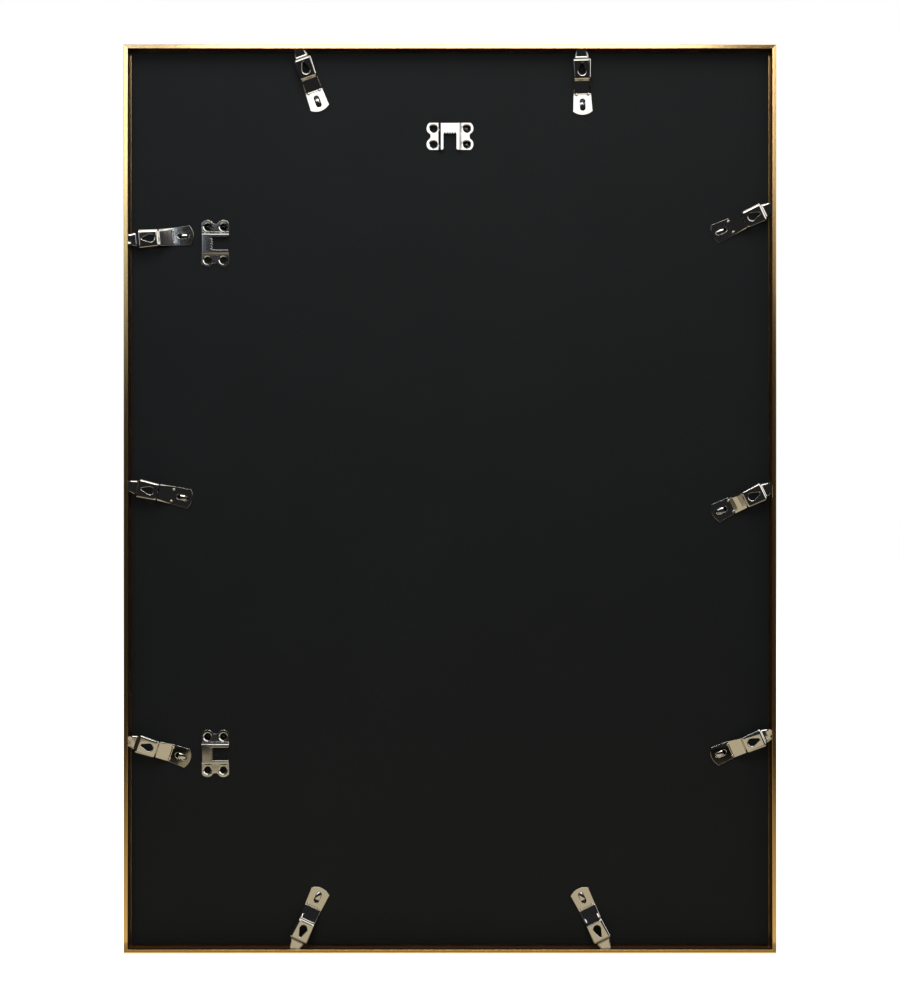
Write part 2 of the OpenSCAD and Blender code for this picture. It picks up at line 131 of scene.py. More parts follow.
class Bench:
    """Hand modelling steps. Sizes are in millimetres until a piece is set in place."""

    @staticmethod
    def only(piece: Object) -> None:
        """Selects one piece and nothing else.

        Args:
            piece: The piece.
        """
        bpy.ops.object.select_all(action="DESELECT")
        piece.select_set(True)
        bpy.context.view_layer.objects.active = piece

    @staticmethod
    def settle(name: str, scale: Vector | None = None) -> Object:
        """Names a new primitive and puts its place and size into its mesh.

        Args:
            name: The piece's name.
            scale: Its size along each axis, where the primitive was added at size one.

        Returns:
            The piece.
        """
        piece = bpy.context.active_object
        piece.name = piece.data.name = name
        if scale is not None:
            piece.scale = scale
        Bench.only(piece)
        bpy.ops.object.transform_apply(location=True, rotation=True, scale=True)
        return piece

    @staticmethod
    def block(name: str, low: Place | Vector, high: Place | Vector) -> Object:
        """Adds a block between two corners.

        Args:
            name: The block's name.
            low: Its lowest corner.
            high: Its highest corner.

        Returns:
            The block.
        """
        low, high = Vector(low), Vector(high)
        bpy.ops.mesh.primitive_cube_add(size=1, location=(low + high) / 2)
        return Bench.settle(name, high - low)

    @staticmethod
    def plate(name: str, low: Row, high: Row) -> Object:
        """Adds a level plane between two corners, facing up.

        Args:
            name: The plane's name.
            low: Its lowest corner.
            high: Its highest corner.

        Returns:
            The plane.
        """
        middle = [(a + b) / 2 for a, b in zip(low, high)]
        bpy.ops.mesh.primitive_plane_add(size=1, location=(*middle, 0))
        return Bench.settle(name, Vector((high[0] - low[0], high[1] - low[1], 1)))

    @staticmethod
    def drum(name: str, radius: float, low: float, high: float,
             centre: Row = (0, 0), sides: int = 48) -> Object:
        """Adds an upright cylinder between two heights.

        Args:
            name: The cylinder's name.
            radius: Its radius.
            low: Its lowest height.
            high: Its highest height.
            centre: Where its axis stands.
            sides: Number of sides round it.

        Returns:
            The cylinder.
        """
        bpy.ops.mesh.primitive_cylinder_add(
            vertices=sides, radius=radius, depth=high - low, location=(*centre, (low + high) / 2)
        )
        return Bench.settle(name)

    @staticmethod
    def wrapped(name: str, radii: Row, length: float, low: float, high: float,
                sides: int = 40) -> Object:
        """Wraps an upright block round two cylinders, its middle at the origin.

        Args:
            name: The block's name.
            radii: The radius at its start and at its end.
            length: Its length along X.
            low: Its lowest height.
            high: Its highest height.
            sides: Number of sides of each cylinder.

        Returns:
            The block.
        """
        first = Bench.drum(name, radii[0], low, high, (radii[0] - length / 2, 0), sides)
        last = Bench.drum(name, radii[1], low, high, (length / 2 - radii[1], 0), sides)
        first.select_set(True)
        last.select_set(True)
        bpy.context.view_layer.objects.active = first
        bpy.ops.object.join()
        with Bench.editing(first):
            bpy.ops.mesh.delete(type="EDGE_FACE")
            bpy.ops.mesh.select_all(action="SELECT")
            bpy.ops.mesh.convex_hull(use_existing_faces=False)
            bpy.ops.mesh.select_all(action="SELECT")
            bpy.ops.mesh.dissolve_limited(angle_limit=math.radians(0.5))
        return first

    @staticmethod
    def flare(tool: Object, radius: float, mouth: float, rise: float = 2.0, steps: int = 5) -> None:
        """Widens a tool's top by a quarter round, and then takes it clear of the piece.

        Args:
            tool: The tool, its top face flat and its axis through the origin.
            radius: The radius that its sides are counted from.
            mouth: How far the quarter round widens it.
            rise: How far it then rises.
            steps: Rows in the quarter round.
        """
        rows = [
            (radius + mouth * (1 - math.cos(angle)), mouth * (math.sin(angle) - 1))
            for angle in (math.pi / 2 * step / steps for step in range(steps + 1))
        ]
        with Bench.editing(tool):
            Bench.pick(tool, Part.FACES, lambda at, way: way.z > FACING)
            Bench.raise_rows([*rows, (rows[-1][0], rise)])
            bpy.ops.mesh.select_all(action="SELECT")
            bpy.ops.mesh.normals_make_consistent(inside=False)

    @staticmethod
    def ball(name: str, radii: Place, centre: Place) -> Object:
        """Adds a ball with its own radius along each axis."""
        bpy.ops.mesh.primitive_uv_sphere_add(segments=20, ring_count=12, radius=1, location=centre)
        return Bench.settle(name, Vector(radii))

    @staticmethod
    def turned(name: str, rows: list[Row], sides: int = 40) -> Object:
        """Builds a turned tool from a disc, raised row by row.

        Args:
            name: The tool's name.
            rows: Radius and height of each row, from the lowest up.
            sides: Number of sides round it.

        Returns:
            The tool, with its axis through the origin.
        """
        bpy.ops.mesh.primitive_circle_add(
            vertices=sides, radius=rows[0][0], fill_type="NGON", location=(0, 0, rows[0][1])
        )
        tool = Bench.settle(name)
        with Bench.editing(tool):
            Bench.raise_rows(rows)
            bpy.ops.mesh.select_all(action="SELECT")
            bpy.ops.mesh.normals_make_consistent(inside=False)
        return tool

    @staticmethod
    def raise_rows(rows: list[Row]) -> None:
        """Extrudes the selected faces up through rows of a radius and a height.

        Args:
            rows: Radius and height of each row, the first as the faces are.
        """
        for (radius, height), (next_radius, next_height) in zip(rows, rows[1:]):
            bpy.ops.mesh.extrude_region_move(
                TRANSFORM_OT_translate={"value": (0, 0, next_height - height)}
            )
            share = next_radius / radius
            bpy.ops.transform.resize(value=(share, share, 1), center_override=(0, 0, next_height))

    @staticmethod
    @contextmanager
    def editing(piece: Object) -> Iterator[None]:
        """Holds a piece in edit mode, with all of it selected at first.

        Args:
            piece: The piece.

        Yields:
            Nothing; the piece is in edit mode meanwhile.
        """
        Bench.only(piece)
        bpy.ops.object.mode_set(mode="EDIT")
        bpy.ops.mesh.select_mode(type="VERT")
        bpy.ops.mesh.select_all(action="SELECT")
        yield
        bpy.ops.object.mode_set(mode="OBJECT")

    @staticmethod
    def pick(piece: Object, part: Part, test: Test) -> None:
        """Selects the points, edges or faces that pass a test.

        Args:
            piece: The piece, in edit mode.
            part: What to pick.
            test: Takes the middle of one and its normal, or an edge's direction.
        """
        bpy.ops.mesh.select_mode(type=part.value)
        bpy.ops.mesh.select_all(action="DESELECT")
        mesh = bmesh.from_edit_mesh(piece.data)
        if part is Part.POINTS:
            found = [v for v in mesh.verts if test(v.co, v.normal)]
        elif part is Part.EDGES:
            ends = [(e, e.verts[0].co, e.verts[1].co) for e in mesh.edges]
            found = [e for e, a, b in ends if test((a + b) / 2, (b - a).normalized())]
        else:
            found = [f for f in mesh.faces if test(f.calc_center_median(), f.normal)]
        for item in found:
            item.select_set(True)
        mesh.select_flush_mode()
        bmesh.update_edit_mesh(piece.data)

    @staticmethod
    def score(point: Place, normal: Place, drop_outer: bool = False) -> None:
        """Cuts the whole piece along a plane, and drops and closes its outer side where asked.

        Args:
            point: A point of the plane.
            normal: The plane's normal, towards its outer side.
            drop_outer: Whether the outer side is dropped.
        """
        bpy.ops.mesh.select_mode(type="VERT")
        bpy.ops.mesh.select_all(action="SELECT")
        bpy.ops.mesh.bisect(
            plane_co=point, plane_no=normal, use_fill=drop_outer, clear_outer=drop_outer,
            threshold=1e-5,
        )

    @staticmethod
    def apply(piece: Object, kind: str, **settings: Any) -> None:
        """Adds a modifier with its settings and applies it.

        Args:
            piece: The piece.
            kind: The modifier's type.
            **settings: The modifier's settings.
        """
        Bench.only(piece)
        modifier = piece.modifiers.new(kind.lower(), kind)
        for key, value in settings.items():
            setattr(modifier, key, value)
        bpy.ops.object.modifier_apply(modifier=modifier.name)

    @staticmethod
    def join(body: Object, tool: Object, way: Join) -> None:
        """Uses a tool on a body, and puts the tool away."""
        Bench.apply(body, "BOOLEAN", operation=way.value, solver="EXACT", object=tool)
        bpy.data.objects.remove(tool, do_unlink=True)

    @staticmethod
    def move(piece: Object, matrix: Matrix) -> None:
        """Moves a piece and puts its new place into its mesh.

        Args:
            piece: The piece.
            matrix: Its new place.
        """
        piece.matrix_world = matrix
        Bench.only(piece)
        bpy.ops.object.transform_apply(location=True, rotation=True, scale=True)

    @staticmethod
    def soften(piece: Object, width: float, segments: int, angle: float) -> None:
        """Rounds the edges that are sharper than an angle in degrees.

        Args:
            piece: The piece.
            width: How wide the rounding is.
            segments: Number of faces across it.
            angle: The angle.
        """
        Bench.apply(
            piece, "BEVEL", width=width, segments=segments, limit_method="ANGLE",
            angle_limit=math.radians(angle), use_clamp_overlap=True, harden_normals=False,
        )

    @staticmethod
    def smooth(piece: Object, angle: float = 38.0) -> None:
        """Shades a finished piece smooth and keeps its flats flat.

        Args:
            piece: The piece.
            angle: The angle in degrees from which an edge stays sharp.
        """
        Bench.only(piece)
        bpy.ops.object.shade_smooth_by_angle(angle=math.radians(angle))
        Bench.apply(piece, "WEIGHTED_NORMAL", mode="FACE_AREA", weight=80, keep_sharp=True)

    @staticmethod
    def tidy(piece: Object, together: float = 0.004, level: float = 0.2) -> None:
        """Merges points that lie together and faces that lie in one plane.

        Args:
            piece: The piece.
            together: The distance up to which points become one.
            level: The angle in degrees up to which faces become one.
        """
        with Bench.editing(piece):
            bpy.ops.mesh.remove_doubles(threshold=together)
            bpy.ops.mesh.select_all(action="SELECT")
            bpy.ops.mesh.dissolve_limited(angle_limit=math.radians(level))

    @staticmethod
    def place(master: Object, name: str, matrix: Matrix) -> Object:
        """Copies a master piece, with its own mesh, to its place at its real size.

        Args:
            master: The piece on the bench, in millimetres.
            name: The copy's name.
            matrix: The copy's place in metres.

        Returns:
            The copy.
        """
        Bench.only(master)
        bpy.ops.object.duplicate(linked=False)
        piece = bpy.context.active_object
        piece.name = piece.data.name = name
        Bench.move(piece, matrix @ Matrix.Scale(MM, 4))
        Bench.smooth(piece)
        return piece

    @staticmethod
    def clear(master: Object) -> None:
        """Takes a master piece off the bench."""
        bpy.data.objects.remove(master, do_unlink=True)


@dataclass
class Bend:
    """A corner of a bent sheet's under face: its station, its height and its radius."""

    station: float
    height: float
    radius: float = 0.0


@dataclass
class BentSheet:
    """A strip of sheet metal, bent across its length."""

    bends: list[Bend]
    half_widths: list[Row]
    rows: tuple[float, ...]
    thickness: float
    arc_steps: int = 5

    def line(self) -> list[Row]:
        """The under face seen from the side, with its bends rounded, as stations and heights.

        Returns:
            Station and height of each point.
        """
        points = [Vector((b.station, b.height)) for b in self.bends]
        line = [tuple(points[0])]
        for before, here, after, bend in zip(points, points[1:], points[2:], self.bends[1:]):
            come, leave = (here - before).normalized(), (after - here).normalized()
            turn = math.atan2(come.x * leave.y - come.y * leave.x, come.dot(leave))
            if bend.radius == 0 or abs(turn) < NEAR:
                line.append(tuple(here))
                continue
            side = math.copysign(1, turn)
            start = here - come * bend.radius * math.tan(abs(turn) / 2)
            centre = start + Vector((-come.y, come.x)) * side * bend.radius
            arm = start - centre
            for step in range(self.arc_steps + 1):
                angle = turn * step / self.arc_steps
                turned = Vector((arm.x * math.cos(angle) - arm.y * math.sin(angle),
                                 arm.x * math.sin(angle) + arm.y * math.cos(angle)))
                line.append(tuple(centre + turned))
        line.append(tuple(points[-1]))
        return line

    def half_width(self, station: float) -> float:
        """Half the strip's width at a station.

        Args:
            station: The station.

        Returns:
            The half width.
        """
        for (a, wide_a), (b, wide_b) in zip(self.half_widths, self.half_widths[1:]):
            if station <= b + NEAR:
                return wide_a + (wide_b - wide_a) * max(station - a, 0) / (b - a)
        return self.half_widths[-1][1]

    def build(self, name: str) -> Object:
        """Makes the strip's under face from a plane; its width across is in shares until here.

        Args:
            name: The strip's name.

        Returns:
            The under face.
        """
        line = self.line()
        piece = Bench.plate(name, (line[0][0], -1), (line[-1][0], 1))
        with Bench.editing(piece):
            for station, _ in line[1:-1]:
                Bench.score((station, 0, 0), (1, 0, 0))
            for row in self.rows:
                Bench.score((0, row, 0), (0, 1, 0))
                if row:
                    Bench.score((0, -row, 0), (0, 1, 0))
            for station, height in line:
                Bench.pick(piece, Part.POINTS, lambda at, _, s=station: abs(at.x - s) < NEAR)
                bpy.ops.transform.resize(
                    value=(1, self.half_width(station), 1), center_override=(station, 0, 0)
                )
                bpy.ops.transform.translate(value=(0, 0, height))
        return piece

    def round_end(self, piece: Object, station: float, centre: float, radius: float) -> None:
        """Pulls an end row of points onto an arc.

        Args:
            piece: The strip's under face.
            station: Where the end row lies.
            centre: The station of the arc's centre.
            radius: The arc's radius.
        """
        side = math.copysign(1, station - centre)
        half = self.half_width(station)
        with Bench.editing(piece):
            for share in sorted({s for row in (*self.rows, 1.0) for s in (row, -row)}):
                across = half * share
                reach = math.sqrt(max(radius ** 2 - across ** 2, 0))
                Bench.pick(
                    piece, Part.POINTS,
                    lambda at, _, y=across: abs(at.x - station) < NEAR and abs(at.y - y) < NEAR,
                )
                bpy.ops.transform.translate(value=(centre + side * reach - station, 0, 0))

    def drop_rows(self, piece: Object, drops: dict[float, float], start: float,
                  full: float) -> None:
        """Turns down the strip's side edges.

        Args:
            piece: The strip's under face, with straight ends.
            drops: How far each row, by its share of the half width, is lowered.
            start: The station where this starts.
            full: The station from which the rows are fully lowered.
        """
        with Bench.editing(piece):
            for station, _ in self.line():
                part = min(max((station - start) / (full - start), 0), 1)
                for share, drop in drops.items():
                    across = share * self.half_width(station)
                    Bench.pick(
                        piece, Part.POINTS,
                        lambda at, _, x=station, y=across: (
                            abs(at.x - x) < NEAR and abs(abs(at.y) - y) < NEAR
                        ),
                    )
                    bpy.ops.transform.translate(value=(0, 0, -drop * part))

    def thicken(self, piece: Object) -> None:
        """Gives the strip its thickness, above its under face."""
        Bench.apply(piece, "SOLIDIFY", thickness=self.thickness, offset=1.0, use_even_offset=True)


class Recipe:
    """Builds one node tree, a material's or a group's."""

    def __init__(self, tree: NodeTree) -> None:
        """Starts from a tree."""
        self.tree = tree

    @classmethod
    def empty(cls, owner: Material | World) -> "Recipe":
        """Starts from a new material or world, without the nodes that it comes with.

        Args:
            owner: The material or world.

        Returns:
            Its recipe.
        """
        owner.use_nodes = True
        owner.node_tree.nodes.clear()
        return cls(owner.node_tree)

    def feed(self, node: Node, values: dict[str | int, Any]) -> None:
        """Sets a node's inputs, or links what feeds them.

        Args:
            node: The node.
            values: Its inputs' values or the sockets that feed them, by name or number. A colour
                has three shares.
        """
        for key, value in values.items():
            socket = node.inputs[key]
            if isinstance(value, NodeSocket):
                self.tree.links.new(value, socket)
            else:
                socket.default_value = (*value, 1.0) if socket.type == "RGBA" else value

    def add(self, kind: str, values: dict[str | int, Any] | None = None, **settings: Any) -> Node:
        """Adds a node.

        Args:
            kind: The node's type, without its common first word.
            values: Its input values or the sockets that feed them, by name or number.
            **settings: The node's own settings.

        Returns:
            The node.
        """
        node = self.tree.nodes.new(f"ShaderNode{kind}")
        for key, value in settings.items():
            setattr(node, key, value)
        self.feed(node, values or {})
        return node

    def math(self, operation: str, first: Any, second: Any) -> NodeSocket:
        """Adds a Math node and returns its result."""
        return self.add("Math", {0: first, 1: second}, operation=operation).outputs[0]

    def spread(self, value: NodeSocket, low: float, high: float,
               start: float = 0.0, end: float = 1.0) -> NodeSocket:
        """Maps a value from one range to another.

        Args:
            value: The value.
            low: What its start becomes.
            high: What its end becomes.
            start: Where its own range starts.
            end: Where its own range ends.

        Returns:
            The mapped value.
        """
        values = {"Value": value, "From Min": start, "From Max": end, "To Min": low, "To Max": high}
        return self.add("MapRange", values).outputs["Result"]

    def blend(self, share: NodeSocket, first: Any, second: Any) -> NodeSocket:
        """Mixes two colours by a share and returns the colour."""
        values = {"Factor": share, 6: first, 7: second}
        return self.add("Mix", values, data_type="RGBA").outputs[2]

    def bump(self, height: NodeSocket, distance: float) -> NodeSocket:
        """A normal that follows a height, with its full distance in metres."""
        return self.add("Bump", {"Height": height, "Distance": distance}).outputs["Normal"]

    def coordinates(self, scale: Place = (1, 1, 1)) -> NodeSocket:
        """Object coordinates, stretched along an axis where asked."""
        place = self.add("TexCoord").outputs["Object"]
        return self.add("Mapping", {"Vector": place, "Scale": scale}).outputs["Vector"]

    def mask(self, group: NodeTree, **values: Any) -> NodeSocket:
        """Places a shared effect with its own values and returns its mask."""
        return self.add("Group", values, node_tree=group).outputs["Mask"]


@dataclass
class Effects:
    """Surface effects that several finishes share, each a node group."""

    speck_size: float = 700.0
    patch_size: float = 9.0
    speck_edge: Row = (0.05, 0.3)
    patch_edge: Row = (0.4, 0.7)
    turn_edge: Row = (0.8, 0.99)
    rub_size: float = 260.0
    rub_edge: Row = (0.35, 0.6)
    rub_least: float = 0.2
    # The ambient occlusion range across which the painted shade of holes and corners fades out.
    painted_shade_edge: Row = (0.62, 0.82)
    grain: NodeTree = field(init=False)
    dust: NodeTree = field(init=False)
    wear: NodeTree = field(init=False)
    # The painted shade of holes and corners.
    painted_shade: NodeTree = field(init=False)

    def __post_init__(self) -> None:
        """Builds the groups once."""
        self.grain = self._grain()
        self.dust = self._dust()
        self.wear = self._wear()
        self.painted_shade = self._painted_shade()

    @staticmethod
    def _open(name: str, **inputs: str) -> tuple[Recipe, dict[str, NodeSocket]]:
        """Starts a group that makes a mask.

        Args:
            name: The group's name.
            **inputs: Its inputs, and what each holds.

        Returns:
            The recipe, and the inputs' sockets by name.
        """
        tree = bpy.data.node_groups.new(name, "ShaderNodeTree")
        for label, kind in inputs.items():
            tree.interface.new_socket(name=label, in_out="INPUT", socket_type=f"NodeSocket{kind}")
        tree.interface.new_socket(name="Mask", in_out="OUTPUT", socket_type="NodeSocketFloat")
        return Recipe(tree), tree.nodes.new("NodeGroupInput").outputs

    @staticmethod
    def _close(recipe: Recipe, operation: str, first: NodeSocket, second: Any) -> NodeTree:
        """Ends a group with a sum or a product, kept between 0 and 1, as its mask.

        Args:
            recipe: The group's recipe.
            operation: ADD or MULTIPLY.
            first: What it is done to.
            second: What it is done with.

        Returns:
            The group.
        """
        mask = recipe.add("Math", {0: first, 1: second}, operation=operation, use_clamp=True)
        result = recipe.tree.nodes.new("NodeGroupOutput")
        recipe.tree.links.new(mask.outputs[0], result.inputs["Mask"])
        return recipe.tree

    def _grain(self) -> NodeTree:
        """Uneven grain, with its contrast drawn out, as a mask from 0 to 1.

        Returns:
            The group.
        """
        recipe, given = self._open("uneven_grain", Place="Vector", Scale="Float", Contrast="Float")
        noise = recipe.add("TexNoise", {
            "Vector": given["Place"], "Scale": given["Scale"], "Detail": 5.0, "Roughness": 0.6,
        })
        centred = recipe.math("SUBTRACT", noise.outputs[0], 0.5)
        return self._close(recipe, "ADD", recipe.math("MULTIPLY", centred, given["Contrast"]), 0.5)

    def _dust(self) -> NodeTree:
        """Fine specks that gather in patches, as a mask.

        Returns:
            The group.
        """
        recipe, given = self._open("settled_dust", Place="Vector", Amount="Float")
        specks = recipe.add("TexVoronoi", {"Vector": given["Place"], "Scale": self.speck_size})
        near = recipe.spread(specks.outputs["Distance"], 1.0, 0.0, *self.speck_edge)
        patches = recipe.add(
            "TexNoise", {"Vector": given["Place"], "Scale": self.patch_size, "Detail": 3.0}
        )
        gathered = recipe.spread(patches.outputs[0], 0.0, 1.0, *self.patch_edge)
        return self._close(
            recipe, "MULTIPLY", near, recipe.math("MULTIPLY", gathered, given["Amount"])
        )

    def _wear(self) -> NodeTree:
        """Where a surface turns sharply, as a mask that is broken up by grain.

        Returns:
            The group.
        """
        recipe, given = self._open("edge_wear", Place="Vector", Radius="Float", Amount="Float")
        rounded = recipe.add("Bevel", {"Radius": given["Radius"]}, samples=4)
        plain = recipe.add("NewGeometry").outputs["Normal"]
        turn = recipe.add("VectorMath", {0: rounded.outputs[0], 1: plain}, operation="DOT_PRODUCT")
        edge = recipe.spread(turn.outputs["Value"], 1.0, 0.0, *self.turn_edge)
        broken = recipe.add(
            "TexNoise", {"Vector": given["Place"], "Scale": self.rub_size, "Detail": 4.0}
        )
        rubbed = recipe.spread(broken.outputs[0], self.rub_least, 1.0, *self.rub_edge)
        return self._close(
            recipe, "MULTIPLY", edge, recipe.math("MULTIPLY", rubbed, given["Amount"])
        )

    def _painted_shade(self) -> NodeTree:
        """Painted shade: where ambient occlusion finds a hole or a corner hemmed in, as a mask.

        Returns:
            The group.
        """
        recipe, given = self._open("painted_shade_in_holes", Reach="Float", Amount="Float")
        open_share = recipe.add(
            "AmbientOcclusion", {"Distance": given["Reach"]}, samples=6, only_local=True
        ).outputs["AO"]
        depth = recipe.spread(open_share, 1.0, 0.0, *self.painted_shade_edge)
        return self._close(recipe, "MULTIPLY", depth, given["Amount"])


@dataclass(frozen=True)
class Finish:
    """A finish of one material; each kind fills in its own nodes."""

    name: str

    def material(self, effects: Effects) -> Material:
        """Makes the finish's material.

        Args:
            effects: The shared effects.

        Returns:
            The material.
        """
        made = bpy.data.materials.new(self.name)
        recipe = Recipe.empty(made)
        shader = recipe.add("BsdfPrincipled", self.dress(recipe, effects))
        recipe.add("OutputMaterial", {"Surface": shader.outputs["BSDF"]})
        return made

    def dress(self, recipe: Recipe, effects: Effects) -> dict[str, Any]:
        """What the shader's inputs are set to or fed by.

        Args:
            recipe: The material's recipe, which takes the nodes.
            effects: The shared effects.

        Returns:
            The values or sockets, by the inputs' names.
        """
        raise NotImplementedError


@dataclass(frozen=True)
class SatinGold(Finish):
    """Anodised gold, drawn along the rail, mottled and lightly rubbed at its edges."""

    grain: Grain = Grain.LEVEL
    colour: Colour = (0.94, 0.64, 0.27)
    pale: Colour = (1.0, 0.76, 0.42)
    deep: Colour = (0.74, 0.44, 0.14)
    roughness: Row = (0.15, 0.21)
    anisotropy: float = 0.8
    streak_scale: float = 2600.0
    mottle_scale: float = 90.0
    streak_depth: float = 3e-6
    wear_radius: float = 0.0004
    mottle_share: float = 0.35
    streak_share: float = 0.22

    def dress(self, recipe: Recipe, effects: Effects) -> dict[str, Any]:
        """Lays streaks, mottling and wear over the gold.

        Args:
            recipe: The material's recipe.
            effects: The shared effects.

        Returns:
            The values or sockets, by the inputs' names.
        """
        place = recipe.coordinates()
        drawn = recipe.coordinates(self.grain.value)
        streaks = recipe.mask(effects.grain, Place=drawn, Scale=self.streak_scale, Contrast=2.2)
        mottle = recipe.mask(effects.grain, Place=drawn, Scale=self.mottle_scale, Contrast=2.5)
        wear = recipe.mask(effects.wear, Place=place, Radius=self.wear_radius, Amount=0.45)
        shade = recipe.blend(recipe.spread(mottle, 0.0, self.mottle_share), self.colour, self.deep)
        shade = recipe.blend(recipe.spread(streaks, 0.0, self.streak_share), shade, self.pale)
        shade = recipe.blend(wear, shade, self.pale)
        along = [1.0 if scale < 1 else 0.0 for scale in self.grain.value]
        drawn_way = recipe.add("CombineXYZ", dict(enumerate(along)))
        return {
            "Base Color": shade, "Metallic": 1.0,
            "Roughness": recipe.spread(streaks, *self.roughness),
            "Anisotropic": self.anisotropy, "Anisotropic Rotation": 0.25,
            "Tangent": drawn_way.outputs[0],
            "Normal": recipe.bump(streaks, self.streak_depth),
        }


@dataclass(frozen=True)
class InnerGoldPaintedShade(Finish):
    """The same gold where it was only etch-finished: the inner walls and the groove, its colours
    darkened almost to black to paint their shade.
    """

    # Painted shade: these colours are darkened almost to black to paint the shade of the inner
    # walls and the groove.
    colour: Colour = (0.1, 0.036, 0.01)
    deep: Colour = (0.05, 0.02, 0.006)
    shadow: Colour = (0.02, 0.01, 0.004)
    metallic: float = 0.55
    roughness: Row = (0.38, 0.52)
    stain_scale: float = 60.0
    reach: float = 0.004

    def dress(self, recipe: Recipe, effects: Effects) -> dict[str, Any]:
        """Lays stains over the etch-finished metal, with painted shade where ambient occlusion
        finds it hemmed in.

        Args:
            recipe: The material's recipe.
            effects: The shared effects.

        Returns:
            The values or sockets, by the inputs' names.
        """
        place = recipe.coordinates()
        stains = recipe.mask(effects.grain, Place=place, Scale=self.stain_scale, Contrast=2.0)
        # Painted shade in the groove and the corners, from ambient occlusion.
        shade_mask = recipe.mask(effects.painted_shade, Reach=self.reach, Amount=0.75)
        shade = recipe.blend(stains, self.colour, self.deep)
        return {
            "Base Color": recipe.blend(shade_mask, shade, self.shadow),
            "Metallic": self.metallic, "Roughness": recipe.spread(stains, *self.roughness),
        }


@dataclass(frozen=True)
class PolishedNickel(Finish):
    """Bright plated spring steel, with faint waves and smudges, and painted shade deep in its
    holes.
    """

    colour: Colour = (0.66, 0.635, 0.585)
    dull: Colour = (0.58, 0.56, 0.52)
    roughness: Row = (0.032, 0.04)
    shadow: Colour = (0.006, 0.006, 0.006)
    wave_scale: float = 120.0
    wave_depth: float = 0.6e-5
    smudge_scale: float = 1100.0
    reach: float = 0.0032

    def dress(self, recipe: Recipe, effects: Effects) -> dict[str, Any]:
        """Lays waves and smudges over the plating, and paints shade into its holes.

        Args:
            recipe: The material's recipe.
            effects: The shared effects.

        Returns:
            The values or sockets, by the inputs' names.
        """
        place = recipe.coordinates()
        waves = recipe.mask(effects.grain, Place=place, Scale=self.wave_scale, Contrast=1.2)
        smudges = recipe.mask(effects.grain, Place=place, Scale=self.smudge_scale, Contrast=3.0)
        # Painted shade in the holes, from ambient occlusion.
        shade_mask = recipe.mask(effects.painted_shade, Reach=self.reach, Amount=1.0)
        shade = recipe.blend(recipe.spread(smudges, 0.0, 0.3), self.colour, self.dull)
        return {
            "Base Color": recipe.blend(shade_mask, shade, self.shadow),
            "Metallic": 1.0, "Roughness": recipe.spread(smudges, *self.roughness),
            "Normal": recipe.bump(waves, self.wave_depth),
        }


@dataclass(frozen=True)
class ZincSteel(Finish):
    """Pale zinc on pressed steel, with fine spangles, a little dust and painted shade in its
    corners and bores.
    """

    colour: Colour = (0.7, 0.69, 0.67)
    dull: Colour = (0.6, 0.59, 0.57)
    shadow: Colour = (0.008, 0.008, 0.008)
    roughness: Row = (0.06, 0.075)
    spangle_scale: float = 420.0
    spangle_depth: float = 1.5e-6
    dust_amount: float = 0.2
    reach: float = 0.005

    def dress(self, recipe: Recipe, effects: Effects) -> dict[str, Any]:
        """Lays spangles and dust over the zinc, and paints shade into its corners.

        Args:
            recipe: The material's recipe.
            effects: The shared effects.

        Returns:
            The values or sockets, by the inputs' names.
        """
        place = recipe.coordinates()
        spangles = recipe.mask(effects.grain, Place=place, Scale=self.spangle_scale, Contrast=2.4)
        dust = recipe.mask(effects.dust, Place=place, Amount=self.dust_amount)
        # Painted shade in the bores and corners, from ambient occlusion.
        shade_mask = recipe.mask(effects.painted_shade, Reach=self.reach, Amount=1.0)
        shade = recipe.blend(recipe.spread(spangles, 0.0, 0.5), self.colour, self.dull)
        shade = recipe.blend(dust, shade, self.dull)
        return {
            "Base Color": recipe.blend(shade_mask, shade, self.shadow), "Metallic": 1.0,
            "Roughness": recipe.spread(spangles, *self.roughness),
            "Normal": recipe.bump(spangles, self.spangle_depth),
        }


@dataclass(frozen=True)
class BlackBoard(Finish):
    """Black faced hardboard: a fine even tooth, faint cloudiness and a little pale dust."""

    colour: Colour = (0.0051, 0.0057, 0.0061)
    cloudy: Colour = (0.0073, 0.0081, 0.0086)
    speck: Colour = (0.05, 0.05, 0.05)
    roughness: Row = (0.46, 0.56)
    tooth_scale: float = 900.0
    cloud_scale: float = 14.0
    tooth_depth: float = 3e-5
    dust_amount: float = 0.25
    sheen_level: float = 0.15

    def dress(self, recipe: Recipe, effects: Effects) -> dict[str, Any]:
        """Lays tooth, clouds and dust over the board.

        Args:
            recipe: The material's recipe.
            effects: The shared effects.

        Returns:
            The values or sockets, by the inputs' names.
        """
        place = recipe.coordinates()
        tooth = recipe.mask(effects.grain, Place=place, Scale=self.tooth_scale, Contrast=2.0)
        clouds = recipe.mask(effects.grain, Place=place, Scale=self.cloud_scale, Contrast=1.8)
        dust = recipe.mask(effects.dust, Place=place, Amount=self.dust_amount)
        shade = recipe.blend(recipe.math("MULTIPLY", tooth, clouds), self.colour, self.cloudy)
        return {
            "Base Color": recipe.blend(dust, shade, self.speck),
            "Roughness": recipe.spread(tooth, *self.roughness),
            "Specular IOR Level": self.sheen_level,
            "Normal": recipe.bump(tooth, self.tooth_depth),
        }


